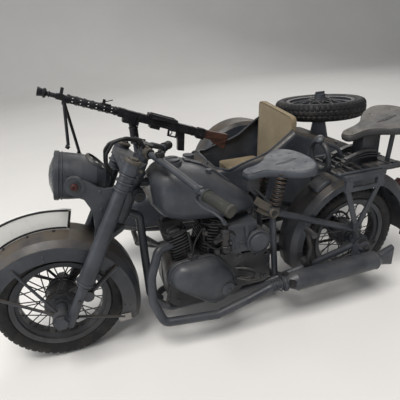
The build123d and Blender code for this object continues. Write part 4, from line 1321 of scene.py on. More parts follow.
# ------------------------------------------------------------------ headlamp, fork and bars
@dataclass
class Headlamp:
    """Lamp rim, reflector, bulb, pivot buttons, a side rib and the dial's face."""

    shop: Workshop
    fork: Steering
    tilt_deg: float = 11.7
    rim_r: float = 17.6
    rim_up: float = 99.6
    rim_behind: float = -34.2
    dial_r: float = 9.3
    dial_tilt_deg: float = 48.7
    dial_from_rim: Triple = (29.0, 0.0, 4.6)

    def out(self) -> Array:
        """Direction the lens faces."""
        a = math.radians(self.tilt_deg)
        return np.array([-math.cos(a), 0.0, math.sin(a)])

    def centre(self) -> Array:
        """Middle of the rim's plane."""
        return self.fork.at(self.rim_up, self.rim_behind)

    def dial(self) -> tuple[Array, Array]:
        """Middle of the dial's face and the way it faces."""
        a = math.radians(self.dial_tilt_deg)
        return self.centre() + self.dial_from_rim, np.array([math.sin(a), 0.0, math.cos(a)])

    def rim(self) -> Shell:
        """Rolled rim, the seam behind it and its clamping screw, square to the lens.

        Returns:
            The surface.
        """
        c, out, r = self.centre(), self.out(), self.rim_r
        roll = [(r - 0.9, -2.2), (r + 0.05, -1.9), (r + 0.1, 0.4), (r - 0.3, 1.1), (r - 1.2, 1.5),
                (r - 2.0, 1.2), (r - 2.2, 0.2), (r - 1.6, -1.4)]
        seam = [(r - 0.75, -3.0), (r - 0.35, -3.4), (r - 0.35, -4.2), (r - 0.75, -4.6)]
        low = c + out * -0.4
        screw = bar(low + [0, 0, -r - 0.2], low + [0, 0, -r + 1.8], 1.3)
        return Shell.join([lathe(roll, c, out, 72, closed=True), lathe(seam, c, out, 72, closed=True), screw])

    def inside(self) -> tuple[Shell, Shell]:
        """Reflector bowl and bulb behind the lens.

        Returns:
            The bowl and the bulb.
        """
        bowl = [(0.4, -14), (6, -12.4), (11, -8), (14.2, -2.6), (15.0, -0.6)]
        bulb = [(1.4, -13), (1.4, -7), (2.6, -5.4), (2.8, -3.4), (1.8, -1.6), (0, -1.0)]
        return lathe(bowl, self.centre(), self.out(), 48), lathe(bulb, self.centre(), self.out(), 20)

    def build(self) -> None:
        """Make the lamp's pieces and finish its nodes."""
        shop, c, out = self.shop, self.centre(), self.out()
        shop.piece("headlamp_rim", self.rim(), Finish.PAINT, "steering", 30.0)
        bowl, bulb = self.inside()
        shop.piece("headlamp_reflector", bowl, Finish.BRIGHT, "steering")
        shop.piece("headlamp_bulb", bulb, Finish.PLATE, "steering")
        pivot = c - out * 12
        for side, label in zip(SIDES, ("left", "right")):
            face = (0, side, 0)
            washer = lathe([(0, -0.2), (4.3, -0.2), (4.3, 0.4), (3.7, 0.8), (0, 0.8)],
                           pivot + [0, side * 22.8, 0], face, 32)
            shop.piece(f"lamp_pivot_washer_{label}", washer, Finish.DARK_PAINT, "steering")
            button = fixings(Fixing.SCREW, 2.5, [(pivot + [0, side * 23.6, 0], face)])
            shop.piece(f"lamp_pivot_button_{label}", button, Finish.RED, "steering")
        # behind the rim, and sideways and up from the lamp's axis
        route = ((5.5, -14.6, 8.6), (9, -15.6, 5.6), (14, -15.6, 3.0))
        rib = bent([c - out * behind + [0, y, up] for behind, y, up in route], 0.85, 20)
        shop.piece("headlamp_side_rib", rib, Finish.PAINT, "steering")
        self.face()
        shop.dress(Finish.PAINT, "headlamp")
        shop.dress(Finish.GLASS, "headlamp_lens")
        shop.dress(Finish.BLACK, "speedometer")

    def marks(self) -> Shell:
        """The dial's scale, needle and hub.

        Formula: mark k of 25 lies along the radius at -210 + 10 k degrees; each fourth one is
        longer and thicker.
        Returns:
            The surface.
        """
        middle, normal = self.dial()
        turn = axes_for(normal)
        parts = []
        for k in range(25):
            a = math.radians(-210 + k * 10)
            long, thick = (1.3, 0.2) if k % 4 else (2.2, 0.32)
            ends = [turn @ np.array([math.cos(a) * r, math.sin(a) * r, 0.34]) + middle
                    for r in (6.6, 6.6 - long)]
            parts.append(bar(*ends, thick, sides=6))
        tail, tip = (turn @ np.array(p) + middle for p in ((-1.4, -0.8, 0.55), (4.6, 2.7, 0.55)))
        parts.append(bar(tail, tip, 0.3, 0.1, 8))
        parts.append(lathe([(1.1, 0.2), (1.1, 0.8), (0, 0.9)], middle, normal, 20))
        return Shell.join(parts)

    def face(self) -> None:
        """Make the speedometer's ring, scale and plates."""
        middle, normal = self.dial()
        r = self.dial_r
        profile = [(r - 1.9, 0.6), (r - 0.9, 1.7), (r - 0.1, 1.6),
                   (r + 0.5, 0.9), (r + 0.6, -0.6), (r - 1.6, -0.2)]
        bezel = lathe(profile, middle, normal, 56, closed=True)
        self.shop.piece("dial_bezel", bezel, Finish.DARK_PAINT, "steering")
        self.shop.piece("dial_marks", self.marks(), Finish.DIAL, "steering")
        plate = lathe([(6.9, 0.2), (6.9, 0.34), (0, 0.34)], middle, normal, 48)
        self.shop.piece("dial_plate", plate, Finish.BLACK, "steering")
        inner = lathe([(3.4, 0.3), (3.4, 0.42), (0, 0.42)], middle, normal, 32)
        self.shop.piece("dial_hub_plate", inner, Finish.STEEL, "steering")


@dataclass
class ForkTrim:
    """Clamps, rings, nuts and brake parts on the fork, and the horn beside its head."""

    shop: Workshop
    fork: Steering
    top: float = 124.0
    foot: float = 32.0
    knob_up: float = 139.2
    ear_y: float = 21.7
    horn_up: float = 106.0
    horn_behind: float = 6.8
    horn_y: float = -14.1

    def leg(self, side: int, up: float, behind: float = 0.0, out: float = 0.0) -> Array:
        """A point by one fork leg.

        Args:
            side: -1 for the left leg, 1 for the right one.
            up: distance up the fork from the axle.
            behind: distance behind the leg's middle.
            out: distance to the right of the leg's middle.
        Returns:
            The point in millimetres.
        """
        return self.fork.at(up, self.fork.leg_behind + behind, side * self.fork.leg_y + out)

    def clamps(self) -> Shell:
        """Pressed caps on top of the covers: a ring, a six-sided nut and two pinch bolts each.

        Returns:
            The surface.
        """
        parts, up = [], self.fork.up()
        for side in SIDES:
            cap = self.leg(side, self.top + 8.0)
            parts.append(
                lathe([(4.6, 0), (6.2, 0.2), (6.3, 1.4), (5.4, 2.3), (4.3, 2.4)], cap, up, 40, closed=True)
            )
            parts.append(lathe([(3.9, 1.6), (3.9, 3.0), (3.4, 3.6), (0, 3.6)], cap, up, 6))
            for across in (-2.5, 2.5):
                ends = [self.leg(side, self.top + 4.4, behind, across) for behind in (5.0, 8.2)]
                parts.append(bar(*ends, 1.1, sides=6))
        return Shell.join(parts)

    def rings(self) -> Shell:
        """Rolled rings round the covers.

        Returns:
            The surface.
        """
        parts = []
        for side in SIDES:
            for up, r in ((self.top - 1.2, 5.6), (self.top - 6.4, 5.8), (self.top - 12.3, 5.8),
                          (self.foot + 3.6, 6.7)):
                parts.append(ring(self.leg(side, up), self.fork.up(), r, 0.7))
            parts.append(ring(self.leg(side, self.foot + 0.6), self.fork.up(), 5.6, 0.6))
        return Shell.join(parts)

    def hub(self) -> Shell:
        """Axle pinch bolts, drain screws, the brake arm and its rod.

        Returns:
            The surface.
        """
        spots = []
        for side in SIDES:
            spots += [(self.leg(side, up, 3.7), self.fork.behind()) for up in (-2.0, 3.6)]
            spots.append((self.leg(side, 20, 0.0, side * 3.6), (0, side, 0)))
        c = np.array(self.fork.front)
        arm = strip([c + [3, 17.0, 2], c + [12, 17.4, 8], c + [19, 17.4, 14]], LEFT, 1.6, 4.2)
        return Shell.join(
            [fixings(Fixing.HEX, 1.3, spots), arm, bar(c + [19, 17.0, 14], c + [13, 18.0, 52], 0.8)]
        )

    def horn(self) -> tuple[Shell, Shell]:
        """Rim and grille of the small horn beside the steering head.

        Returns:
            The rim and the grille.
        """
        at = self.fork.at(self.horn_up, self.fork.stem_behind + self.horn_behind, self.horn_y)
        dish = lathe([(0, -0.1), (2.9, -0.1), (2.7, 0.25), (0, 0.3)], at, LEFT, 28)
        grille = Shell.join([dish, ring(at + [0, -0.2, 0], LEFT, 1.6, 0.25, 24, 6)])
        return ring(at, LEFT, 3.5, 0.6, 32), grille

    def build(self) -> None:
        """Make the fork's trim and finish its nodes."""
        shop = self.shop
        shop.piece("fork_top_clamps", self.clamps(), Finish.ALLOY, "steering", 30.0)
        shop.piece("fork_cover_rings", self.rings(), Finish.PAINT, "steering")
        shop.piece("fork_axle_fixings", self.hub(), Finish.STEEL, "steering")
        knob = lathe([(2.2, 0), (2.2, 1.6), (5.6, 2.2), (6.2, 3.4), (5.6, 4.6), (2.4, 5.2), (0, 5.2)],
                     self.fork.at(self.knob_up, self.fork.stem_behind), self.fork.up(), 28)
        shop.piece("steering_damper_knob", knob, Finish.BLACK, "steering")
        spots = [(self.fork.at(up, behind, side * self.ear_y), (0, side, 0))
                 for side in SIDES for up, behind in ((78, 3.0), (92, 0.0), (104.5, -5.5))]
        shop.piece("fork_ear_rivets", fixings(Fixing.RIVET, 1.0, spots), Finish.PAINT, "steering")
        rim, grille = self.horn()
        shop.piece("horn_rim", rim, Finish.PAINT, "bike")
        shop.piece("horn_grille", grille, Finish.BLACK, "bike")
        shop.dress(Finish.PAINT, "fork")
        shop.dress(Finish.CABLE, "control_cables")


@dataclass
class Bars:
    """Ribbed grips, levers, perches, clamps and a dip switch on the handlebar."""

    shop: Workshop
    fork: Steering
    grip_end: Triple = (-153.0, 81.0, 142.2)
    grip_run: Triple = (8.6, 20.0, -4.2)
    clamp_up: float = 137.0
    switch_from_clamp: Triple = (8.5, -20.0, 1.6)

    def grip(self, side: int) -> tuple[Array, Array]:
        """Where a grip starts and ends.

        Args:
            side: -1 for left, 1 for right.
        Returns:
            The inner end and the outer end.
        """
        end = np.array(self.grip_end) * [1, side, 1]
        run = np.array(self.grip_run) * [1, side, 1]
        return end - run, end

    def sleeve(self, side: int) -> Shell:
        """A grip with ridges round it and a collar at each end.

        Formula: at t along the grip the radius is 3.6 plus 0.42 |sin(1.7 t)|, between two collars.
        Args:
            side: -1 for left, 1 for right.
        Returns:
            The surface.
        """
        start, end = self.grip(side)
        length = float(np.linalg.norm(end - start))
        t = np.linspace(0, length, 120)
        ridges = [(3.60 + 0.42 * abs(math.sin(s * 1.7)), s) for s in t[6:-4]]
        cap = [(4.3, length - 0.6), (4.3, length + 1.0), (3.0, length + 1.5), (0, length + 1.5)]
        return lathe([(2.6, -0.2), (4.4, 0.0), (4.4, 1.1), *ridges, *cap], start, end - start, 28)

    def lever(self, side: int) -> Shell:
        """A curved blade that starts at its perch and ends with a ball beyond the grip.

        Args:
            side: -1 for left, 1 for right.
        Returns:
            The surface.
        """
        start, end = self.grip(side)
        out = unit(end - start)
        away = np.array([-0.55, 0.0, -0.75])
        # along the grip from its inner end, away from the grip
        route = ((-7, 4.5), (-2, 7.4), (5, 8.2), (13, 7.2), (20, 7.6), (23.5, 8.8))
        path = [start + out * along + away * off for along, off in route]
        blade = strip(smooth(np.array(path), 36), (0.75, 0, -0.55), 3.4, 1.3, 36)
        ball = lathe([(0, -1.5), (1.1, -1.1), (1.5, 0), (1.1, 1.1), (0, 1.5)], path[-1], UP, 16)
        perch = bar(start - out * 8.4, start - out * 3.6, 3.5)
        arm = strip([start - out * 6 + away * 1.5, start - out * 7 + away * 5.4], out, 3.6, 2.6, 8)
        bolt = fixings(Fixing.HEX, 1.1, [(start - out * 6.6 + away * 5.6, (0.3, 0.0, 0.95))])
        return Shell.join([blade, ball, perch, arm, bolt])

    def build(self) -> None:
        """Make both grips and levers, the bar's clamps and the dip switch."""
        for side, name, finish in ((-1, "left", Finish.GRIP), (1, "right", Finish.HOSE)):
            self.shop.piece(f"{name}_grip_sleeve", self.sleeve(side), finish, "steering", 60.0)
            self.shop.piece(f"{name}_lever", self.lever(side), Finish.PAINT, "steering")
        mid = self.fork.at(self.clamp_up, self.fork.stem_behind)
        parts = []
        for side in SIDES:
            profile, way = [(3.0, -2.6), (4.0, -2.2), (4.0, 2.2), (3.0, 2.6)], (0.3, side * 0.9, -0.15)
            parts.append(lathe(profile, mid + [2, side * 10, 1], way, 24, closed=True))
        spots = [(mid + [2, side * 8 + dy, 4.6], UP) for side in SIDES for dy in (-1.8, 1.8)]
        self.shop.piece("handlebar_clamps", Shell.join([*parts, fixings(Fixing.HEX, 1.2, spots)]),
                        Finish.ALLOY, "steering")
        at = mid + self.switch_from_clamp
        switch = soft_block((6.4, 5.0, 4.2), 1.2).shifted(*at)
        button = lathe([(1.4, 0), (1.4, 1.2), (0.8, 1.7), (0, 1.7)], at + [0, 0, 2.0], UP, 16)
        self.shop.piece("dip_switch", Shell.join([switch, button]), Finish.BLACK, "steering")
        self.shop.dress(Finish.PAINT, "handlebar")
        self.shop.dress(Finish.GRIP, "grips")


@dataclass
class Plate:
    """Black border and bolts of the blank number plate on the front mudguard."""

    shop: Workshop
    centre: Triple = FRONT_AXLE
    low: float = 63.0
    high: float = 79.3
    start_deg: float = 74.0
    end_deg: float = 128.0
    border_r: float = 1.1
    feet_deg: tuple = (84.0, 101.0, 118.0)

    def border(self) -> Shell:
        """A rolled edge round the curved plate.

        Formula: a closed bar along an inner arc, outwards at its end, and back along an outer arc.
        Returns:
            The surface.
        """
        a, b = math.radians(self.start_deg + 0.7), math.radians(self.end_deg - 0.7)
        t = np.linspace(a, b, 40)
        angle = np.concatenate([t, t[::-1]])
        r = np.repeat([self.low + 1.3, self.high - 1.15], 40)
        loop = np.array(self.centre) + np.stack([r * np.cos(angle), np.zeros(80), r * np.sin(angle)], 1)
        return pipe(loop, self.border_r, 10, closed=True)

    def feet(self) -> Shell:
        """Small bolts that hold the plate on the crown.

        Returns:
            The surface.
        """
        spots = []
        for deg in self.feet_deg:
            a = math.radians(deg)
            out = np.array([math.cos(a), 0, math.sin(a)])
            for side in SIDES:
                spots.append((np.array(self.centre) + out * (self.low - 0.2) + [0, side * 2.8, 0], out))
        return fixings(Fixing.HEX, 1.0, spots)

    def build(self) -> None:
        """Make the border and the bolts, and finish the plate."""
        self.shop.piece("number_plate_border", self.border(), Finish.BLACK, "steering")
        self.shop.piece("number_plate_bolts", self.feet(), Finish.STEEL, "steering")
        self.shop.dress(Finish.PLATE, "number_plate")


# ------------------------------------------------------------------ mudguards
@dataclass(frozen=True)
class Guard:
    """A mudguard as the drawing gives it: centre, crown radius, half width, skirt and its two angles."""

    node: str
    body: str
    centre: Triple
    crown: float
    half: float
    skirt: float
    low_deg: float
    high_deg: float


@dataclass
class MudguardTrim:
    """Rolled edges, creases and rivets of the three mudguards, a lid on the rear one and a front tab."""

    shop: Workshop
    guards: tuple = (
        Guard("front_mudguard", "steering", FRONT_AXLE, 63.0, 19.5, 16.5, -22, 152),
        Guard("rear_mudguard", "bike", REAR_AXLE, 68.5, 15.0, 12.0, -8, 196),
        Guard("sidecar_mudguard", "bike", SIDE_GUARD, 68.5, 18.5, 26.0, 2, 172),
    )
    lid_deg: float = 121.0
    tab_deg: float = -20.0

    def edges(self, guard: Guard) -> Shell:
        """Beads along both skirts and across both ends.

        Formula: the skirt beads are arcs at the skirt's radius; the end beads follow the
        section's corners at each end angle.
        Args:
            guard: the mudguard.
        Returns:
            The surface.
        """
        (x0, y0, z0), half, crown = guard.centre, guard.half, guard.crown
        low, high, edge_r = guard.low_deg + 0.6, guard.high_deg - 0.6, crown - guard.skirt + 0.6
        parts = []
        for side in SIDES:
            line = arc_points(guard.centre, edge_r, low, high, y0 + side * (half - 0.86), 90)
            parts.append(pipe(line, 0.85, 8))
        section = np.array(
            [[half - 0.8, edge_r], [half - 0.8, crown - 6.2], [half - 4.7, crown - 1.9], [0, crown - 0.75]]
        )
        y, r = np.vstack([section, section[-2::-1] * [-1, 1]]).T
        for deg in (low, high):
            a = math.radians(deg)
            line = np.stack([x0 + r * math.cos(a), y0 + y, z0 + r * math.sin(a)], 1)
            parts.append(pipe(line, 0.75, 8))
        return Shell.join(parts)

    def crease(self, guard: Guard) -> Shell:
        """Pressed shoulder lines along the sides of the crown.

        Args:
            guard: the mudguard.
        Returns:
            The surface.
        """
        parts = []
        for side in SIDES:
            y = guard.centre[1] + side * (guard.half - 0.5)
            line = arc_points(guard.centre, guard.crown - 5.9, guard.low_deg + 1, guard.high_deg - 1, y, 90)
            parts.append(pipe(line, 0.5, 6))
        return Shell.join(parts)

    def rivets(self, guard: Guard) -> Shell:
        """Rivets where the stays meet the skirts; the sidecar's guard has them on its inner side only.

        Args:
            guard: the mudguard.
        Returns:
            The surface.
        """
        spots = []
        for side in SIDES[:1] if guard.centre == SIDE_GUARD else SIDES:
            for share in (0.08, 0.34, 0.66, 0.92):
                a = math.radians(guard.low_deg + share * (guard.high_deg - guard.low_deg))
                for over in (5.0, 1.5):
                    r = guard.crown - guard.skirt + over
                    off = (r * math.cos(a), side * (guard.half + 0.05), r * math.sin(a))
                    spots.append((np.array(guard.centre) + off, (0, side, 0)))
        return fixings(Fixing.RIVET, 0.95, spots)

    def build(self) -> None:
        """Make the trim of each mudguard and the small fittings."""
        for guard in self.guards:
            shell = Shell.join([self.edges(guard), self.crease(guard)])
            self.shop.piece(f"{guard.node}_edges", shell, Finish.GUARD_PAINT, guard.body)
            self.shop.piece(f"{guard.node}_rivets", self.rivets(guard), Finish.PAINT, guard.body)
            self.shop.dress(Finish.GUARD_PAINT, guard.node)
        self.shop.dress(Finish.RED, "tail_lamp")
        self.lid()
        self.tab()

    def lid(self) -> None:
        """Make the hinged lid with its four rivets behind the rear guard's crown."""
        a, r = math.radians(self.lid_deg), self.guards[1].crown
        out = np.array([math.cos(a), 0.0, math.sin(a)])
        along = np.array([out[2], 0, -out[0]])
        foot = np.array(REAR_AXLE) + r * out
        turn = np.stack([along, RIGHT, out], 1)
        block = soft_block((17, 15, 4.4), 1.6).moved(turn, foot + out * 1.0 + [0, -3, 0])
        spots = [(foot + out * 3.1 + along * dx + [0, dy - 3, 0], out) for dx in (-6, 6) for dy in (-5, 5)]
        shell = Shell.join([block, fixings(Fixing.RIVET, 0.9, spots)])
        self.shop.piece("rear_mudguard_lid", shell, Finish.PAINT, "bike")

    def tab(self) -> None:
        """Make the pale tab low on the front skirt's left side."""
        b = math.radians(self.tab_deg)
        at = np.array(FRONT_AXLE) + [47.5 * math.cos(b) + 1.5, -20.2, 47.5 * math.sin(b) - 1.5]
        tab = soft_block((10.5, 1.2, 6.5), 0.5).moved(axes_for(UP), at)
        self.shop.piece("front_mudguard_tab", tab, Finish.BRIGHT, "steering")


# ------------------------------------------------------------------ engine
@dataclass
class Engine:
    """Bolts, seams, plugs, pushrod tubes, carburettor and pipes round the engine."""

    shop: Workshop
    x: float = -152.0
    # from the engine's middle, height and radius of the three round ends of the chain cover
    cover_circles: tuple = ((-20.0, 62.0, 13.0), (-0.5, 60.5, 15.0), (5.5, 47.5, 18.0))
    cover_flange_y: float = -24.0
    cover_bulge: float = 12.3
    cover_rim: float = 0.965
    # foot and head of each cylinder, from the engine's middle
    cylinders_x: tuple = ((-16.0, -23.0), (6.0, 13.0))
    cylinder_foot_z: float = 70.0
    cylinder_head_z: float = 99.0
    fins_each: int = 11

    def cylinders(self) -> list[tuple[Array, Array, Array]]:
        """Where both cylinders stand.

        Returns:
            Foot, head and 3x3 turn of each; the turn's last column runs up the barrel.
        """
        found = []
        for foot_x, head_x in self.cylinders_x:
            foot = np.array([self.x + foot_x, 0, self.cylinder_foot_z])
            head = np.array([self.x + head_x, 0, self.cylinder_head_z])
            lean = unit(head - foot)
            found.append((foot, head, np.stack([np.cross(RIGHT, lean), RIGHT, lean], 1)))
        return found

    def cover_middle(self) -> Array:
        """The (x, z) point that the chain cover's outline is drawn towards."""
        return np.array([self.x - 4.0, 54.5])

    def cover_outline(self) -> Array:
        """Even (x, z) points round the chain cover: the hull of three circles.

        Returns:
            (128, 2) points.
        """
        circles = np.array([(self.x + dx, z, r) for dx, z, r in self.cover_circles])
        a = np.linspace(0, 2 * math.pi, 400, endpoint=False)
        way = np.stack([np.cos(a), np.sin(a)], 1)
        best = circles[np.argmax(circles[:, :2] @ way.T + circles[:, 2:], 0)]
        line = best[:, :2] + way * best[:, 2:]
        line = np.vstack([line, line[:1]])
        run = np.concatenate([[0], np.cumsum(np.linalg.norm(np.diff(line, axis=0), axis=1))])
        s = np.linspace(0, run[-1], 128, endpoint=False)
        return np.stack([np.interp(s, run, line[:, k]) for k in (0, 1)], 1)

    def cover(self) -> Shell:
        """The chain cover as a pressed, bulging form on a flat flange.

        Formula: the outline is drawn towards its middle by f from 1 to 0 while the depth grows by
        the bulge times the square root of 1 - (f / rim) to the power 3.2.
        Returns:
            The surface.
        """
        line, middle, y0, rim = self.cover_outline(), self.cover_middle(), self.cover_flange_y, self.cover_rim
        rows = [(1.0, y0 + 4.0), (1.0, y0 + 0.6), (0.985, y0 + 0.1), (rim, y0)]
        for f in np.concatenate([np.linspace(rim, 0.86, 8), np.linspace(0.82, 0.06, 14)]):
            rows.append((f, y0 - self.cover_bulge * math.sqrt(max(0.0, 1 - (f / rim) ** 3.2))))
        pts = []
        for f, y in rows:
            p = middle + f * (line - middle)
            pts.append(np.stack([p[:, 0], np.full(len(p), y), p[:, 1]], 1))
        return grid(np.array(pts), close_v=True, caps=True)

    def cover_trim(self) -> Shell:
        """Flange bead, level plug and drain screw of the chain cover.

        Returns:
            The surface.
        """
        line, middle = self.cover_outline(), self.cover_middle()
        bead = middle + 0.99 * (line - middle)
        plug, face = (self.x + 13.5, -35.4, 46.5), (0.12, -1, -0.06)
        return Shell.join([
            pipe(np.stack([bead[:, 0], np.full(len(bead), -23.6), bead[:, 1]], 1), 0.6, 6, closed=True),
            lathe([(6.2, -1.0), (6.2, 0.1), (5.2, 0.8), (0, 1.0)], plug, face, 36),
            lathe([(2.2, 0.8), (2.2, 1.5), (1.6, 1.9), (0, 1.9)], plug, face, 6),
            fixings(Fixing.SCREW, 1.3, [((self.x + 3.0, -30.6, 33.4), (0, -0.7, -0.7))]),
        ])

    def heads(self) -> Shell:
        """Rocker boxes with head bolts, and foot bolts, on both cylinders.

        Returns:
            The surface.
        """
        parts = []
        for foot, head, turn in self.cylinders():
            lean = turn[:, 2]
            for side in SIDES:
                parts.append(
                    soft_block((11, 8, 6.5), 1.8).moved(turn, head - lean * 1.5 + [0, side * 11.5, 0])
                )
            for radius, base, dx, dy in ((1.4, head - lean * 2.0, 6.5, 15.0),
                                         (1.3, foot + lean * 1.5, 8.0, 15.5)):
                spots = [(base + turn @ np.array([x, y, 0]), lean) for x in (-dx, dx) for y in (-dy, dy)]
                parts.append(fixings(Fixing.HEX, radius, spots))
        return Shell.join(parts)

    def fins(self) -> Shell:
        """Thin fins between the cast ones, slightly proud, on both cylinders.

        Formula: a soft rectangle's outline, drawn inwards to half and back at the other face.
        Returns:
            The surface.
        """
        c, s = soft_square(0.45, 56)
        loop = np.stack([c * 9.4, s * 16.9], 1)
        rows = []
        for share, h in ((0.5, -0.22), (0.985, -0.22), (1, -0.1), (1, 0.1), (0.985, 0.22), (0.5, 0.22)):
            rows.append(np.concatenate([loop * share, np.full((56, 1), h)], 1))
        fin = grid(np.array(rows), close_v=True)
        return Shell.join(fin.moved(turn, foot + (head - foot) * ((k + 0.5) / self.fins_each))
                          for foot, head, turn in self.cylinders() for k in range(self.fins_each))

    def plugs(self) -> tuple[Shell, Shell]:
        """Spark plugs with caps, and their leads to the coil under the tank.

        Returns:
            The plugs and the leads.
        """
        bodies, leads = [], []
        for head, dx in ((-23, -4.0), (13, 4.0)):
            base = np.array([self.x + head + dx, -15.0, 95.0])
            way = unit([dx * 0.05, -1.0, 0.55])
            bodies.append(
                lathe([(2.0, -1), (2.0, 1.4), (1.5, 1.6), (1.5, 4.6), (1.1, 5), (0, 5)], base, way, 12)
            )
            cap = base + way * 4.2
            leads.append(lathe([(1.9, 0), (2.1, 3.0), (1.7, 4.4), (0, 4.6)], cap, way, 16))
            end = cap + way * 4.2
            coil = self.x - 2
            route = [end, end + way * 2.5 + [0, 0, 1], [coil + dx * 0.6, -18.5, 103.0],
                     [coil + dx * 0.3, -9.0, 105.5]]
            leads.append(bent(route, 0.75))
        return Shell.join(bodies), Shell.join(leads)

    def carburettor(self) -> tuple[Shell, Shell]:
        """Float bowl, slide cap, banjo, linkage, petcock and a small pump, with their hoses.

        Returns:
            The metal parts and the hoses.
        """
        x, bowl_y = self.x + 18, -19
        at, tap, pump = (x, bowl_y), x - 17, x - 30
        screws = [((x - 4.4, -19, 90), (-1, 0, 0.2)), ((x + 4.6, -20, 80), (0.6, -1, 0)),
                  ((x, -24.4, 76.4), LEFT)]
        pump_screws = [((pump + dx, -24.0, 76 + dz), LEFT) for dx in (-2, 2) for dz in (-3, 3)]
        metal = [
            lathe([(5.4, 0), (5.6, 0.6), (5.6, 1.4), (5.0, 1.8)], (*at, 78.4), UP, 28, closed=True),
            lathe([(3.2, -2.2), (3.0, -3.4), (1.4, -4.2), (0, -4.2)], (*at, 74.2), UP, 20),
            lathe([(4.6, 0), (4.6, 2.2), (3.6, 3.0), (1.2, 3.4), (1.2, 5.0), (0, 5.0)], (*at, 92.4), UP, 24),
            bar((x - 3, -20, 86), (x - 11, -22.6, 86), 2.0),
            bar((x + 3, -21, 83), (x + 3, -25.4, 83), 1.5, sides=6),
            fixings(Fixing.HEX, 1.2, screws),
            bar((tap, -16.5, 98.5), (tap, -16.5, 91.5), 1.9),
            bar((tap, -14, 95.5), (tap, -21, 95.5), 1.0),
            strip([(tap, -21.4, 93.4), (tap, -21.4, 97.4)], BACK, 2.4, 0.9, 6),
            bar((x + 8, -21, 73), (x + 8, -21, 88), 1.1),
            bar((x + 8, -21, 80), (x + 16, -22.5, 80), 0.9),
            soft_block((7, 5, 9), 1.2).shifted(pump, -21.5, 76),
            soft_block((5, 4, 6), 1.0).shifted(x - 8.5, -21, 76),
            fixings(Fixing.HEX, 1.2, pump_screws),
        ]
        hoses = [
            bent([(tap, -16.5, 91), (x - 17.5, -17.5, 86), (x - 11, -22.0, 80), (x - 5, -22.0, 79)], 1.0),
            bent([(*at, 97), (x - 2, -19, 101), (x - 12, -15, 104.5)], 0.8),
            bent([(pump, -24, 80), (x - 28, -24.5, 90), (x - 20, -20, 99)], 0.7),
            bent([(x + 8, -21.5, 88), (x + 4, -23, 93), (x - 5, -19, 99), (x - 10, -13, 103)], 0.7),
        ]
        return Shell.join(metal), Shell.join(hoses)

    def tubes(self) -> Shell:
        """Pushrod tubes with their collars, and three oil pipes, on the left of the cylinders.

        Returns:
            The surface.
        """
        x = self.x
        parts = []
        # behind the engine's middle, y and z along the two pipes that loop back to the case
        outer = ((26, -20, 54.5), (36, -25, 54.4), (46, -26.0, 48), (46, -26, 42), (36, -25.4, 42.4),
                 (27, -20.5, 44))
        inner = ((28, -19.5, 50.5), (37, -23, 50.2), (43, -23.6, 46), (36, -23, 43.4), (30, -20, 44))
        for foot, head in ((-14, -19), (-10, -12), (3, 5), (8, 12)):
            p, q = np.array([foot + x, -17.5, 68]), np.array([head + x, -13.5, 95])
            way = unit(q - p)
            parts += [bar(p, q, 1.1), bar(p, p + way * 3.4, 1.9, 1.6), bar(q - way * 3, q, 1.5, 1.7)]
        parts += [
            bent([(x - 30, -19, 40), (x - 36, -20, 36), (x - 33, -21, 50), (x - 28, -20.5, 58)], 1.0),
            bent([(x + back, y, z) for back, y, z in outer], 1.1, 48),
            bent([(x + back, y, z) for back, y, z in inner], 0.9, 40),
        ]
        return Shell.join(parts)

    def case(self) -> Shell:
        """Crankcase seams, cover and mounting bolts, and a round lid with its screws on the right.

        Returns:
            The surface.
        """
        x = self.x
        cover_at = ((36, 37), (44, 37), (55, 38), (57, 50), (56, 61), (46, 62.5))
        mounts_at = ((-26, 36), (26, 36), (-28, 66), (30, 66))
        cover_screws = [((x + dx, -18.2, z), LEFT) for dx, z in cover_at]
        mounts = [((x + dx, side * 20.2, z), (0, side, 0)) for side in SIDES for dx, z in mounts_at]
        lid, lid_screw_r = (x - 6, 28.2, 50), 8.6
        turns = np.arange(5) * 1.2566
        lid_screws = [
            ((lid[0] + lid_screw_r * math.cos(t), lid[1] + 0.9, lid[2] + lid_screw_r * math.sin(t)), RIGHT)
            for t in turns
        ]
        return Shell.join([
            strip([(x - 33.5, 0, 36), (x - 34.3, 0, 52), (x - 33.5, 0, 66)], RIGHT, 2.4, 1.2),
            strip([(x + 34, 0, 34), (x + 60.2, 0, 34.6)], RIGHT, 2.0, 1.0),
            fixings(Fixing.HEX, 1.4, cover_screws + mounts),
            lathe([(12.5, 0), (12.5, 1.0), (11.4, 1.5), (10.8, 1.0)], lid, RIGHT, 40, closed=True),
            fixings(Fixing.SCREW, 1.2, lid_screws),
        ])

    def build(self) -> None:
        """Make the engine's pieces and finish its nodes."""
        shop = self.shop
        shop.piece("chain_cover", self.cover(), Finish.PAINT, "bike", 50.0, ["primary_cover"])
        shop.piece("chain_cover_trim", self.cover_trim(), Finish.PAINT, "bike")
        shop.piece("cylinder_heads", self.heads(), Finish.STEEL, "bike")
        shop.piece("cylinder_fins", self.fins(), Finish.DARK_PAINT, "bike", 30.0)
        bodies, leads = self.plugs()
        shop.piece("spark_plugs", bodies, Finish.BRIGHT, "bike")
        shop.piece("plug_leads", leads, Finish.HOSE, "bike")
        metal, hose = self.carburettor()
        shop.piece("carburettor_parts", metal, Finish.STEEL, "bike")
        shop.piece("fuel_hoses", hose, Finish.HOSE, "bike")
        shop.piece("pushrod_and_oil_tubes", self.tubes(), Finish.DARK_PAINT, "bike")
        shop.piece("crankcase_fixings", self.case(), Finish.PAINT, "bike")
        shop.piece("air_box_trim", self.air_cleaner(), Finish.PAINT, "bike")
        shop.dress(Finish.PAINT, "air_box")
        shop.dress(Finish.DARK_PAINT, "engine_case")
        shop.dress(Finish.STEEL, "engine_cylinders", "kick_lever")

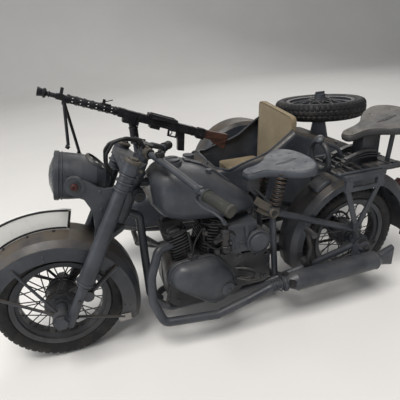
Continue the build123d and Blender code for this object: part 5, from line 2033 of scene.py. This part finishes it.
    def air_cleaner(self) -> Shell:
        """Rings, lid seam, strap, screws and ribs of the air box.

        Returns:
            The surface.
        """
        x, z = self.x + 45.8, 78.8
        screws = [((x - 24.0, -22.1, 74), LEFT), ((x - 24.0, -22.1, 90), LEFT), ((x - 3.0, -22.1, 92), LEFT)]
        ribs = [strip([(at, -22.1, 86), (at, -22.2, 76)], BACK, 1.1, 0.6, 8)
                for at in (x - 20, x - 16, x - 12)]
        return Shell.join([
            ring((x, -25.3, z), LEFT, 10.1, 0.55),
            ring((x, -26.5, z), LEFT, 7.6, 0.4),
            lathe([(8.0, 0), (7.4, 0.7), (0, 1.0)], (x, -26.4, z), LEFT, 40),
            strip([(x - 27, -22.6, 94.6), (x - 1, -22.6, 94.6)], UP, 1.6, 0.8),
            strip([(x - 10.0, -22.3, 97.6), (x - 10.0, -23.4, 90), (x - 10.0, -22.6, 80)], BACK, 3.0, 0.7),
            fixings(Fixing.SCREW, 1.2, screws),
            *ribs,
        ])


# ------------------------------------------------------------------ running gear
@dataclass
class RunningGear:
    """Axle nuts, foot rests, chain, saddle joint and coils, and exhaust clamps."""

    shop: Workshop
    joint: tuple[float, float] = (-88.3, 98.4)
    coil_turns: int = 8
    coil_r: float = 4.0
    coil_wire: float = 0.85
    chain_y: float = 14.2
    chain_pitch: float = 3.0
    gearbox: tuple[float, float] = (-100.0, 47.0)
    sprockets: tuple[float, float] = (7.0, 16.0)
    silencer: tuple[float, float] = (-36.7, 39.0)

    def joint_bracket(self) -> tuple[Shell, Shell]:
        """Cheeks round the saddle joint, and black discs that paint the shade inside each hole through its
        boss.

        Returns:
            The cheeks and the discs of painted hole shade.
        """
        x, z = self.joint
        boss = [(3.4, 0), (4.9, 0.2), (4.9, 1.6), (4.3, 2.2), (3.0, 2.2), (2.6, 1.0)]
        cheeks, painted_hole_shade = [], []
        for side in SIDES:
            y, face = side * 16.4, (0, side, 0)
            upper = [(x - 13, side * 7.5, z + 11), (x - 8, side * 10.4, z + 7), (x - 2, side * 13.4, z + 3.6)]
            lower = [(x - 11, side * 7.0, z + 2), (x - 6, side * 10.0, z - 1.0),
                     (x - 1, side * 13.4, z - 2.6)]
            cheeks.append(lathe(boss, (x, y, z), face, 32, closed=True))
            for line, width in ((upper, 7.0), (lower, 5.0)):
                cheeks.append(strip(line, (0.5, 0, 0.85), width, 1.3))
            # black disc set in the boss's ring: painted shade filling the bore
            painted_hole_shade.append(lathe([(0, 0), (2.6, 0), (2.6, 0.9), (0, 0.9)], (x, y + side * 0.4, z), face, 24))
        return Shell.join(cheeks), Shell.join(painted_hole_shade)

    def coils(self) -> Shell:
        """The front saddle's two leaning coils.

        Formula: a helix of eight turns and radius 4 about the line from its seat to the pan.
        Returns:
            The surface.
        """
        x, z = self.joint
        t = np.linspace(0, 1, 260)
        parts = []
        for side in SIDES:
            foot, head = np.array([x + 3, side * 14.0, z + 5.4]), np.array([x + 9.2, side * 14.0, z + 34.0])
            a = 2 * math.pi * self.coil_turns * t
            local = np.stack(
                [self.coil_r * np.cos(a), self.coil_r * np.sin(a), t * np.linalg.norm(head - foot)], 1
            )
            parts.append(pipe(local @ axes_for(head - foot).T + foot, self.coil_wire, 8))
        return Shell.join(parts)

    def axle_ends(self) -> Shell:
        """Nuts, washers and chain adjusters on the rear axle, and two stay bolts above it.

        Returns:
            The surface.
        """
        parts, z = [], REAR_AXLE[2]
        for side in SIDES:
            face = (0, side, 0)
            end = [(0, 0), (2.6, 0), (2.6, 1.2), (1.9, 1.6), (0, 1.6)]
            parts.append(lathe(end, (0, side * 32.2, z), face, 18))
            parts.append(lathe([(0, -0.6), (6.4, -0.6), (6.4, 0.4), (0, 0.4)], (0, side * 27.6, z), face, 28))
            parts.append(bar((5, side * 25.2, z), (14, side * 25.2, z - 0.6), 1.3))
            parts.append(fixings(Fixing.HEX, 1.7, [((13.5, side * 25.2, z - 0.6), BACK)]))
            parts.append(fixings(Fixing.HEX, 1.2, [((x, side * 28.6, 72), face) for x in (-11, -7)]))
        return Shell.join(parts)

    def foot_rests(self) -> tuple[Shell, Shell]:
        """Rubber rests on a cross bar, and the brake pedal with its rod.

        Returns:
            The rubber parts and the steel ones.
        """
        rubber, steel = [], []
        ridges = [(3.3 + 0.35 * (k % 2), 1.2 + k * 1.5) for k in range(10)]
        for side in SIDES:
            profile = [(2.0, 0), (3.4, 0.4), *ridges, (3.4, 16.6), (0, 17)]
            rubber.append(lathe(profile, (-82, side * 27, 40.5), (0, side, 0), 20))
            steel.append(bar((-82, side * 14, 33), (-82, side * 28, 40.5), 2.0))
        steel += [
            bent([(-84, -22.5, 37), (-78, -24, 36), (-72, -27.5, 34), (-68, -31, 37.5)], 1.4),
            soft_block((6.5, 7.5, 2.2), 0.9).shifted(-68, -31.5, 38.6),
            bent([(-84, -22, 35.0), (-40, -23.5, 35.6), (-6, -24.5, 43)], 0.8, 24),
            fixings(Fixing.HEX, 1.6, [((-84, -24.2, 37), LEFT), ((-76.6, -26.5, 35.4), LEFT)]),
        ]
        return Shell.join(rubber), Shell.join(steel)

    def chain(self) -> Shell:
        """Side plates of the drive chain, from the gearbox to the rear sprocket.

        Formula: plates are set in pairs at even steps along two straight runs and two arcs round
        the sprockets; each second pair stands further out.
        Returns:
            The surface.
        """
        (ra, rb), a, b = self.sprockets, np.array(self.gearbox), np.array([REAR_AXLE[0], REAR_AXLE[2]])
        angle = math.atan2(*(b - a)[::-1])
        wrap = math.acos((ra - rb) / np.linalg.norm(b - a))
        big = np.linspace(angle + wrap, angle - wrap, 40)
        small = np.linspace(angle - wrap, angle + wrap - 2 * math.pi, 40)
        arcs = ((b, rb, big), (a, ra, small))
        line = np.vstack([middle + r * np.stack([np.cos(t), np.sin(t)], 1) for middle, r, t in arcs])
        closed = np.vstack([line, line[:1]])
        length = np.concatenate([[0], np.cumsum(np.linalg.norm(np.diff(closed, axis=0), axis=1))])
        count = int(length[-1] // self.chain_pitch)
        s = np.arange(count) * length[-1] / count
        x, z = (np.interp(s, length, closed[:, k]) for k in (0, 1))
        dx, dz = (np.roll(v, -1) - np.roll(v, 1) for v in (x, z))
        plate = soft_block((3.3, 0.7, 2.0), 0.6, 2)
        parts = []
        for k in range(count):
            way = unit([dx[k], 0, dz[k]])
            turn = np.stack([way, RIGHT, np.cross(way, RIGHT)], 1)
            for off in (1.2, -1.2) if k % 2 else (0.7, -0.7):
                parts.append(plate.moved(turn, (x[k], self.chain_y + off, z[k])))
        return Shell.join(parts)

    def exhaust(self) -> Shell:
        """Clamps, rings and seams along the pipe and the silencer.

        Returns:
            The surface.
        """
        y, z = self.silencer
        rings = [(-98, 4.2, 0.6, 32), (-95.6, 4.2, 0.6, 32), (-92, 5.3, 0.6, 32), (-88, 6.2, 0.6, 32),
                 (-85.5, 5.4, 0.6, 32), (-76.6, 8.5, 0.5, 40), (5.4, 8.5, 0.5, 40)]
        return Shell.join([
            *[ring((x, y, z), BACK, r, wire, count) for x, r, wire, count in rings],
            bar((-88, y - 6.2, z + 3), (-88, y - 6.2, z - 3), 1.2, sides=6),
            strip([(-76, y, z + 8.5), (-40, y, z + 8.62), (5, y, z + 8.5)], RIGHT, 1.2, 0.5),
            fixings(Fixing.HEX, 1.3, [((-8, -31.8, 47), LEFT), ((-6.5, -31.8, 51.5), LEFT)]),
        ])

    def build(self) -> None:
        """Make the running gear's pieces and finish its nodes."""
        shop = self.shop
        cheeks, painted_hole_shade = self.joint_bracket()
        shop.piece("saddle_joint_brackets", cheeks, Finish.ALLOY, "bike")
        # black discs: painted shade of the bores through the joint's bosses
        shop.piece("saddle_joint_painted_hole_shade", painted_hole_shade, Finish.BLACK, "bike")
        shop.piece("rear_axle_ends", self.axle_ends(), Finish.STEEL, "bike")
        shop.piece("saddle_coils", self.coils(), Finish.RUST, "bike")
        rubber, steel = self.foot_rests()
        shop.piece("foot_rest_rubbers", rubber, Finish.HOSE, "bike")
        shop.piece("foot_rest_bars", steel, Finish.DARK_PAINT, "bike")
        shop.piece("drive_chain", self.chain(), Finish.STEEL, "bike")
        shop.piece("exhaust_trim", self.exhaust(), Finish.PAINT, "bike")
        shop.dress(Finish.PAINT, "frame", "exhaust_pipe", "silencer")
        shop.dress(Finish.DARK_PAINT, "saddle_spring")


# ------------------------------------------------------------------ rear carrier
@dataclass
class Carrier:
    """Rails, slats, leaf springs, straps and knob of the rear carrier, and the tail lamp's rim."""

    shop: Workshop
    level: float = 122.4
    slats_x: tuple = (-23.0, -5.5, 13.0, 24.0)
    leaf_y: float = 9.0
    strut_foot: tuple[float, float] = (-9.0, 69.5)
    lamp: Triple = (49.6, 0.0, 86.2)

    def rails(self) -> Shell:
        """A bent rail along each side of the carrier.

        Returns:
            The surface.
        """
        z, parts = self.level, []
        for side in SIDES:
            # x, distance from the middle, height over the carrier
            route = ((-30, 20, 2.6), (-31.5, 23.6, 2.8), (-26, 24.6, 2.9), (0, 24.6, 2.9), (26, 24.6, 2.9),
                     (32.5, 23.6, 2.8), (33.0, 18, 2.6))
            parts.append(bent([(x, side * y, z + up) for x, y, up in route], 1.5, 60))
        return Shell.join(parts)

    def leaves(self) -> Shell:
        """Cross slats, and on each side three leaf springs with their eye, pin and bolts.

        Returns:
            The surface.
        """
        z = self.level
        parts = [strip([(x, -23.5, z + 2.6), (x, 23.5, z + 2.6)], BACK, 2.6, 0.9, 8) for x in self.slats_x]
        for side in SIDES:
            for lift, reach in ((0.0, 0.0), (2.4, 2.0), (4.8, 4.6)):
                # x, extra distance from the middle, height over the carrier
                route = ((-20 + reach, 0.0, 5), (-8 + reach, 0.4, 8.6), (6, 0.6, 10), (22 - reach, 0.4, 8.2))
                line = [(x, side * (self.leaf_y + out), z + up + lift) for x, out, up in route]
                parts.append(strip(line, RIGHT, 4.6, 1.1))
            parts.append(ring((-22, side * self.leaf_y, z + 5.4), RIGHT, 2.2, 1.1, 24))
            parts.append(bar((-22, side * 6.4, z + 5.4), (-22, side * 11.6, z + 5.4), 1.2))
            parts.append(fixings(Fixing.HEX, 1.4, [((x, side * 22, z + 3.2), UP) for x in (-29.5, 30.5)]))
        return Shell.join(parts)

    def grab_knob(self) -> Shell:
        """The turned knob in front of the carrier and the bent rod that it stands on.

        Returns:
            The surface.
        """
        z = self.level
        profile = [(1.2, 0), (1.3, 1.4), (3.4, 2.6), (4.2, 4.4), (3.8, 6.2), (2.2, 7.4), (0, 7.6)]
        knob = lathe(profile, (-37.4, -3.6, z + 26.4), (-0.55, -0.25, 0.8), 24)
        rod = bent([(-37, -3, z + 27), (-30, -1.5, z + 24), (-18, 0, z + 18), (-12, 0, z + 10)], 1.7, 24)
        return Shell.join([knob, rod])

    def struts(self) -> Shell:
        """Flat straps over the carrier's struts, two a side, with a washer where they meet.

        Returns:
            The surface.
        """
        x, z = self.strut_foot
        straps = [strip([(x, side * 26.4, z), (top, side * 28.4, 111.4)], (1, 0, 0.2), 5.2, 1.5, 6)
                  for side in SIDES for top in (-25.0, 6.6)]
        washers = [
            lathe([(4.4, 0), (4.4, 1.2), (3.6, 1.8), (0, 1.8)], (x, side * 26.6, z + 2.5), (0, side, 0), 28)
            for side in SIDES
        ]
        return Shell.join(straps + washers)

    def build(self) -> None:
        """Make the carrier's small parts and finish its nodes."""
        shop = self.shop
        shop.piece("carrier_rails", self.rails(), Finish.PAINT, "bike")
        shop.piece("carrier_leaves", self.leaves(), Finish.DARK_PAINT, "bike")
        shop.piece("grab_ring_knob", self.grab_knob(), Finish.PAINT, "bike")
        shop.piece("carrier_struts", self.struts(), Finish.PAINT, "bike")
        spots = [((x, side * 30.6, z), (0, side, 0)) for side in SIDES for x in (-25.4, 7.0)
                 for z in (112.0, 121.6)]
        shop.piece("carrier_frame_bolts", fixings(Fixing.RIVET, 1.0, spots), Finish.PAINT, "bike")
        shop.piece("tail_lamp_rim", ring(self.lamp, (0.82, 0, 0.57), 5.6, 0.7, 36), Finish.PAINT, "bike")
        shop.dress(Finish.PAINT, "carrier_frames")
        shop.dress(Finish.DARK_PAINT, "rear_rack")


# ------------------------------------------------------------------ sidecar body
@dataclass
class TubTrim:
    """Coaming bead, seams, rivets, floor boards and grab rail on the sidecar's body."""

    shop: Workshop
    middle: float = TUB_Y
    half: float = 40.0
    corner: float = 14.0
    shoulder: float = 6.0
    rail_x: float = -116.0
    rail_half: float = 24.0
    hook_x: float = 66.0
    front: float = -106.0
    back: float = -13.8
    # x, half width, top of the body
    crown: tuple = ((-236.0, 9.0, 74.0), (-214.0, 17.5, 83.5), (-190.0, 25.0, 91.0), (-148.0, 33.0, 102.0),
                    (-104.0, 39.5, 112.0), (-53.0, 45.5, 121.5), (-22.0, 46.0, 142.5), (30.0, 43.5, 124.0),
                    (60.0, 36.5, 113.0), (84.0, 26.0, 100.0))

    def top(self, x: Array) -> Array:
        """Height of the body's top over x."""
        return np.interp(x, [c[0] for c in self.crown], [c[2] for c in self.crown])

    def width(self, x: Array) -> Array:
        """Half width of the body at x."""
        return np.interp(x, [c[0] for c in self.crown], [c[1] for c in self.crown])

    def section(self, x: float) -> tuple[float, float]:
        """Half width of the body and height of its top at one x."""
        return float(self.width(np.array(x))), float(self.top(np.array(x)))

    def coaming(self) -> Shell:
        """A rolled bead round the cockpit's mouth.

        Formula: a rectangle with 14 mm corners in plan, lifted to the body's top, and dropped
        near the sides where the mouth cuts the body's rounded shoulder.
        Returns:
            The surface.
        """
        r, half = self.corner, self.half
        corners = [(self.back - r, half - r, 0), (self.front + r, half - r, 90),
                   (self.front + r, r - half, 180), (self.back - r, r - half, 270)]
        pts = []
        for cx, cy, start in corners:
            for a in np.radians(np.linspace(start, start + 90, 12)):
                pts.append((cx + r * math.cos(a), cy + r * math.sin(a)))
        loop = np.array(pts)
        dense = np.vstack([np.linspace(p, q, 6, endpoint=False) for p, q in zip(loop, np.roll(loop, -1, 0))])
        z = self.top(dense[:, 0]) - 0.2
        gap, bend = self.width(dense[:, 0]) - np.abs(dense[:, 1]), self.shoulder
        z -= np.where(gap < bend,
                      bend - np.sqrt(np.clip(bend ** 2 - (bend - np.clip(gap, 0, bend)) ** 2, 0, None)), 0)
        return pipe(np.stack([dense[:, 0], dense[:, 1] + self.middle, z], 1), 1.25, 8, closed=True)

    def seams(self) -> Shell:
        """Raised seams along the shoulders and across the nose and the tail.

        Returns:
            The surface.
        """
        parts = []
        x = np.linspace(-228, 80, 90)
        for side in SIDES:
            y = self.middle + side * (self.width(x) + 0.05)
            low = np.interp(x, [-236, -190, -104, -22, 84], [66, 56, 58, 60, 76])
            parts.append(pipe(np.stack([x, y, low], 1), 0.7, 6))
        for at in (-150.0, 34.0):
            w, z = self.section(at)
            # distance in from the side, depth under the top; then the same on the other side
            half = [(0.0, 24.0), (0.0, 10.0), (2.6, 2.4), (9.0, 0.0)]
            line = [(at, self.middle + side * (w - inset), z - down)
                    for side, points in ((-1, half), (1, half[::-1])) for inset, down in points]
            parts.append(strip(line, BACK, 3.2, 0.7, 60))
        return Shell.join(parts)

    def rivets(self) -> Shell:
        """Rivets under the coaming and along the seams.

        Returns:
            The surface.
        """
        spots = []
        for side in SIDES:
            for x in np.arange(-98, 76, 14.5):
                w, z = self.section(x)
                spots.append(((x, self.middle + side * (w + 0.02), z - 12), (0, side, 0)))
            for x in np.arange(-210, 76, 22.0):
                w, z = self.section(x)[0], float(np.interp(x, [-236, -104, 84], [62, 54, 72]))
                spots.append(((x, self.middle + side * (w + 0.02), z), (0, side, 0)))
        return fixings(Fixing.RIVET, 0.9, spots)

    def inside(self) -> Shell:
        """Duck boards on the floor and a foot bar.

        Returns:
            The surface.
        """
        boards = [soft_block((3.6, 62 - 0.05 * k, 1.4), 0.5).shifted(-98 + 5.4 * k, self.middle, 49.2)
                  for k in range(3)]
        slats = [soft_block((54, 6.4, 1.6), 0.6).shifted(-112, self.middle + 12 * k, 48.6)
                 for k in (-2, -1, 0, 1, 2)]
        foot_bar = bar((self.rail_x, self.middle - 30, 66), (self.rail_x, self.middle + 30, 66), 1.6)
        return Shell.join([*boards, *slats, foot_bar])

    def rail(self) -> Shell:
        """Grab rail in front of the cockpit with two flanges, and tie hooks on the tail.

        Returns:
            The surface.
        """
        x, half, mid, z = self.rail_x, self.rail_half, self.middle, self.section(self.rail_x)[1]
        # behind the foot, distance from the middle, height over the body
        left = [(0, half, -1.5), (1, half, 4), (4, half - 4, 7.5)]
        line = [(x + back, mid - y, z + up) for back, y, up in left] + [(x + 4.5, mid, z + 8.4)]
        line += [(x + back, mid + y, z + up) for back, y, up in left[::-1]]
        parts = [bent(line, 1.5, 64)]
        for side in SIDES:
            flange = (x, mid + side * half, z - 0.9)
            parts.append(lathe([(3.6, -1.5), (3.6, 0.5), (2.8, 1.1), (0, 1.1)], flange, (-0.2, 0, 1), 24))
            # distance from the middle, height
            route = ((35.0, 96), (38.6, 96.5), (38.6, 90), (35.0, 89))
            parts.append(bent([(self.hook_x, mid + side * y, up) for y, up in route], 0.9))
        return Shell.join(parts)

    def build(self) -> None:
        """Make the body's trim and finish its nodes."""
        shop = self.shop
        shop.piece("cockpit_coaming", self.coaming(), Finish.PAINT, "bike")
        shop.piece("tub_seams", self.seams(), Finish.GUARD_PAINT, "bike")
        shop.piece("tub_rivets", self.rivets(), Finish.PAINT, "bike")
        shop.piece("tub_floor_boards", self.inside(), Finish.WOOD, "bike")
        shop.piece("tub_grab_rail", self.rail(), Finish.PAINT, "bike")
        shop.dress(Finish.GUARD_PAINT, "sidecar_tub")
        shop.dress(Finish.DARK_PAINT, "sidecar_chassis")
        shop.dress(Finish.PAINT, "spare_carrier")


# ------------------------------------------------------------------ gun
@dataclass
class Gun:
    """Sights, bands, cocking handle, feed cover, grip plates and the post's fittings."""

    shop: Workshop
    post: tuple[float, float] = (-181.0, 110.0)
    bore: float = 170.0
    rise_deg: float = 21.0
    jacket_x: float = -61.0
    jacket_r: float = 3.95
    foot_z: float = 94.0
    foot_bolt_r: float = 6.6

    def raised(self, shell: Shell) -> Shell:
        """A shell made along the bore, raised to the gun's angle on its post."""
        return shell.moved(lean_about_y(self.rise_deg), (*self.post, self.bore))

    def barrel_trim(self) -> Shell:
        """Bands, muzzle cone, front and rear sights.

        Returns:
            The surface.
        """
        cone = [(2.2, 0), (4.6, 2.0), (4.6, 3.2), (3.6, 4.2), (2.2, 4.2)]
        return Shell.join([
            *[ring((self.jacket_x + k * 11.2 - 1.0, 0, 0), BACK, 3.9, 0.45, 24) for k in range(6)],
            lathe(cone, (-84.6, 0, 0), BACK, 28, closed=True),
            ring((-87.8, 0, 0), BACK, 3.9, 0.5, 24),
            ring((-78, 0, 0), BACK, 2.4, 0.6, 24),
            soft_block((3.0, 1.0, 6.0), 0.3).shifted(-67.7, 0, 6.0),
            soft_block((5.5, 3.0, 1.0), 0.3).shifted(-67.7, 0, 2.6),
            soft_block((9, 4.6, 1.2), 0.4).shifted(-26, 0, 4.2),
            strip([(-30, 0, 4.8), (-25, 0, 7.6), (-21, 0, 9.6)], RIGHT, 2.6, 0.6),
        ])

    def receiver_trim(self) -> Shell:
        """Feed cover, ribs, cocking handle, pins, grip plates and trigger.

        Returns:
            The surface.
        """
        blocks = [((30, 10.4, 1.4), 0.6, (31.5, 0, 6.0)), ((26, 3.0, 1.4), 0.6, (31, 0, 7.0)),
                  ((14, 12.6, 2.0), 0.7, (27, 0, 2.8)), ((4, 8.6, 8.8), 1.0, (49, 0, -0.2)),
                  ((3, 8.8, 9.2), 0.9, (66, 0, -0.4)), ((2.4, 8.6, 8.8), 0.8, (8, 0, -0.4))]
        parts = [soft_block(size, edge).shifted(*at) for size, edge, at in blocks]
        parts.append(bar((18, 4.2, -0.5), (18, 10.2, -0.5), 1.3))
        parts.append(
            lathe([(1.2, 0), (2.1, 0.8), (2.1, 3.4), (1.2, 4.2), (0, 4.2)], (18, 9.4, -0.5), RIGHT, 16)
        )
        pins = ((4, -2.4), (14, 2.0), (38, -2.6), (56, 1.6), (76, -2.4), (60, -2.2))
        for side in SIDES:
            parts.append(strip([(10, side * 4.35, 0.6), (46, side * 4.35, 0.6)], UP, 2.2, 0.7, 8))
            parts.append(
                strip([(52, side * 2.85, -6.5), (59.5, side * 2.85, -22)], (1, 0, 0.3), 4.6, 0.8, 10)
            )
            parts.append(fixings(Fixing.SCREW, 0.9, [((x, side * 4.2, z), (0, side, 0)) for x, z in pins]))
        parts.append(bent([(44.5, 0, -5.5), (45.2, 0, -8.4), (43.6, 0, -10.2)], 0.6, 12))
        return Shell.join(parts)

    def slots(self) -> Shell:
        """Short ribs between the jacket's cooling slots, raised a little.

        Returns:
            The surface.
        """
        parts = []
        for k in range(8):
            for deg in range(0, 360, 60):
                a = math.radians(deg + 30)
                c, s = math.cos(a), math.sin(a)
                at = np.array([self.jacket_x + 7.4 * k, self.jacket_r * c, self.jacket_r * s])
                turn = np.stack([[1, 0, 0], [0, -s, c], [0, c, s]], 1)
                parts.append(soft_block((2.6, 1.4, 0.7), 0.3, 2).moved(turn, at))
        return Shell.join(parts)

    def mount(self) -> Shell:
        """Two rings round the top of the post, and the clamp's lever with its ball.

        Returns:
            The surface.
        """
        x, y = self.post
        ball = [(0, -1.7), (1.4, -1.2), (1.8, 0), (1.4, 1.2), (0, 1.7)]
        return Shell.join([
            ring((x, y, 142.0), UP, 4.4, 0.7, 32),
            ring((x, y, 157.4), UP, 4.4, 0.6, 32),
            bar((x, y - 4, 149), (x, y - 9.5, 149), 1.2),
            bar((x, y - 9, 149), (x + 7.0, y - 10.4, 145.5), 1.1),
            lathe(ball, (x + 7.6, y - 10.5, 145.2), UP, 18),
        ])

    def foot(self) -> Shell:
        """Flange round the post's foot with its six bolts.

        Returns:
            The surface.
        """
        (x, y), z, r = self.post, self.foot_z, self.foot_bolt_r
        profile = [(7.2, -1.0), (8.6, -0.8), (8.6, 0.6), (7.6, 1.2), (4.4, 1.6), (3.4, 6.0)]
        spots = [((x + r * math.cos(t), y + r * math.sin(t), z + 1.2), UP) for t in np.arange(6) * 1.0472]
        return Shell.join([lathe(profile, (x, y, z), UP, 32, closed=True), fixings(Fixing.HEX, 1.1, spots)])

    def build(self) -> None:
        """Make the gun's trim and the post's foot, and finish their nodes."""
        shop = self.shop
        details = Shell.join([self.barrel_trim(), self.receiver_trim()])
        shop.piece("gun_fittings", self.raised(details), Finish.GUN, "gun", 30.0)
        shop.piece("gun_jacket_ribs", self.raised(self.slots()), Finish.GUN, "gun", 30.0)
        shop.piece("gun_mount_clamp", self.mount(), Finish.GUN, "gun")
        shop.piece("gun_post_foot", self.foot(), Finish.PAINT, "bike")
        butt = strip([(107.2, 0, 5.0), (107.4, 0, -3), (107.2, 0, -10.6)], RIGHT, 6.6, 0.9, 12)
        shop.piece("gun_butt_plate", self.raised(butt), Finish.GUN, "gun")
        shop.dress(Finish.GUN, "gun_barrel", "gun_receiver", "gun_carriage", "gun_bipod")
        shop.dress(Finish.WOOD, "gun_stock")
        shop.dress(Finish.PAINT, "gun_post")


# ------------------------------------------------------------------ studio
@dataclass(frozen=True)
class Softbox:
    """A soft square lamp: its place and size in metres, its watts and colour."""

    name: str
    place: Triple
    size: float
    watts: float
    colour: Colour


@dataclass
class Studio:
    """Pale floor, soft lamps and the camera."""

    shop: Workshop
    eye: Triple = (-227.0, -268.9, 241.4)
    azimuth: float = -16.402
    elevation: float = 24.251
    roll: float = -3.743
    lens: float = 33.42
    sensor: float = 36.0
    aim: Triple = (0.0, 0.0, 0.08)
    softboxes: tuple = (
        Softbox("key_softbox", (-0.45, -0.45, 1.4), 0.7, 20.0, (1.0, 0.98, 0.95)),
        Softbox("side_softbox", (-1.4, -0.5, 0.7), 1.0, 6.5, (0.95, 0.97, 1.0)),
        Softbox("back_softbox", (0.8, 1.2, 1.3), 1.0, 9.0, (1.0, 0.99, 0.97)),
    )
    ambient: float = 0.24
    ambient_colour: Colour = (0.93, 0.95, 1.0)
    backdrop: Colour = (0.80, 0.79, 0.77)
    paper_tones: tuple[Colour, Colour] = ((0.72, 0.705, 0.68), (0.75, 0.735, 0.71))
    bend_y: float = 1.6
    bend_r: float = 0.8

    def stand(self, name: str, data: bpy.types.ID, turn: Array, place: Array) -> bpy.types.Object:
        """Put a camera or a lamp in the scene.

        Args:
            name: the object's name.
            data: its camera or lamp data.
            turn: its own axes as columns.
            place: where it stands, in metres.
        Returns:
            The object.
        """
        obj = bpy.data.objects.new(name, data)
        matrix = np.eye(4)
        matrix[:3, :3], matrix[:3, 3] = turn, place
        obj.matrix_world = Matrix(matrix.tolist())
        bpy.context.scene.collection.objects.link(obj)
        return obj

    def camera(self) -> None:
        """Place the camera by its eye, bearing, height angle and roll."""
        a, e, r = (math.radians(v) for v in (self.azimuth, self.elevation, self.roll))
        back = np.array([math.sin(a) * math.cos(e), -math.cos(a) * math.cos(e), math.sin(e)])
        right = np.array([math.cos(a), math.sin(a), 0.0])
        up = np.cross(back, right)
        across = right * math.cos(r) + up * math.sin(r)
        upward = -right * math.sin(r) + up * math.cos(r)
        data = bpy.data.cameras.new("studio_camera")
        data.lens, data.sensor_width, data.clip_start, data.clip_end = self.lens, self.sensor, 0.01, 50.0
        turn = np.stack([across, upward, back], 1)
        place = self.shop.datum.metres(np.array(self.eye))
        bpy.context.scene.camera = self.stand("studio_camera", data, turn, place)

    def lamp(self, box: Softbox) -> None:
        """Light one soft box, turned to the model.

        Args:
            box: the lamp to make.
        """
        data = bpy.data.lights.new(box.name, "AREA")
        data.shape, data.size, data.energy, data.color = "SQUARE", box.size, box.watts, box.colour
        self.stand(box.name, data, axes_for(np.array(box.place) - np.array(self.aim)), np.array(box.place))

    def floor(self) -> None:
        """A paper sweep: flat near the model and rising behind it.

        Formula: the height is 0 up to the bend and then a quarter circle and a straight rise.
        """
        at, r, a = self.bend_y, self.bend_r, np.linspace(0.1, math.pi / 2, 14)
        y = np.concatenate([np.linspace(-3, at, 24), at + r * np.sin(a), [at + r, at + r]])
        z = np.concatenate([np.zeros(24), r - r * np.cos(a), [2 * r, 3.0]])
        x = np.linspace(-4, 4, 17)
        x, y, z = np.broadcast_arrays(x, y[:, None], z[:, None])
        shell = grid(np.stack([x, y, z], -1))
        mesh = bpy.data.meshes.new("paper_sweep")
        mesh.from_pydata(shell.points.tolist(), [], shell.quads.tolist())
        mesh.polygons.foreach_set("use_smooth", np.ones(len(mesh.polygons), bool))
        floor = bpy.data.objects.new("paper_sweep", mesh)
        bpy.context.scene.collection.objects.link(floor)
        mesh.materials.append(self.paper())

    def paper(self) -> bpy.types.Material:
        """Off-white paper with a faint tooth.

        Returns:
            The material.
        """
        r = Recipe("studio_paper")
        r.give("Base Color", r.mix(r.between(r.noise(3, 3), 0.3, 0.7), *self.paper_tones))
        r.give("Roughness", 0.9)
        r.bump(r.noise(400, 3), 0.0002, 0.3)
        return r.material

    def sky(self) -> None:
        """An even pale world, seen as near white by the camera and through glass."""
        world = bpy.data.worlds.new("studio_world")
        world.use_nodes = True
        bpy.context.scene.world = world
        tree = world.node_tree
        light = tree.nodes["Background"]
        light.inputs["Color"].default_value = (*self.ambient_colour, 1.0)
        light.inputs["Strength"].default_value = self.ambient
        seen = tree.nodes.new("ShaderNodeBackground")
        seen.inputs["Color"].default_value = (*self.backdrop, 1.0)
        seen.inputs["Strength"].default_value = 1.0
        path = tree.nodes.new("ShaderNodeLightPath")
        both = tree.nodes.new("ShaderNodeMath")
        both.operation = "MAXIMUM"
        both.use_clamp = True
        tree.links.new(path.outputs["Is Camera Ray"], both.inputs[0])
        tree.links.new(path.outputs["Is Transmission Ray"], both.inputs[1])
        blend = tree.nodes.new("ShaderNodeMixShader")
        tree.links.new(both.outputs[0], blend.inputs[0])
        tree.links.new(light.outputs[0], blend.inputs[1])
        tree.links.new(seen.outputs[0], blend.inputs[2])
        tree.links.new(blend.outputs[0], tree.nodes["World Output"].inputs["Surface"])

    def build(self) -> None:
        """Set up everything that isn't the model."""
        bpy.context.scene.view_settings.view_transform = "Standard"
        self.camera()
        self.floor()
        self.sky()
        for box in self.softboxes:
            self.lamp(box)


# ------------------------------------------------------------------ main
def main() -> None:
    """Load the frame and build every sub-assembly."""
    logging.basicConfig(level=logging.INFO, format="%(message)s")
    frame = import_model()
    shop = Workshop(Datum.from_frame(), frame["nodes"])
    fork = Steering()
    Studio(shop).build()
    for assembly in (
        Wheels(shop),
        Tank(shop),
        SidecarSeat(shop),
        Saddle(shop, "front_saddle", -109.0, -48.0, 136.5, 6.0, 0.0),
        Saddle(shop, "rear_saddle", -13.0, 58.0, 160.0, 12.0, 5.0, Finish.WORN_SADDLE),
        Headlamp(shop, fork),
        ForkTrim(shop, fork),
        Bars(shop, fork),
        Plate(shop),
        MudguardTrim(shop),
        Engine(shop),
        RunningGear(shop),
        Carrier(shop),
        TubTrim(shop),
        Gun(shop),
    ):
        assembly.build()


if __name__ == "__main__":
    main()
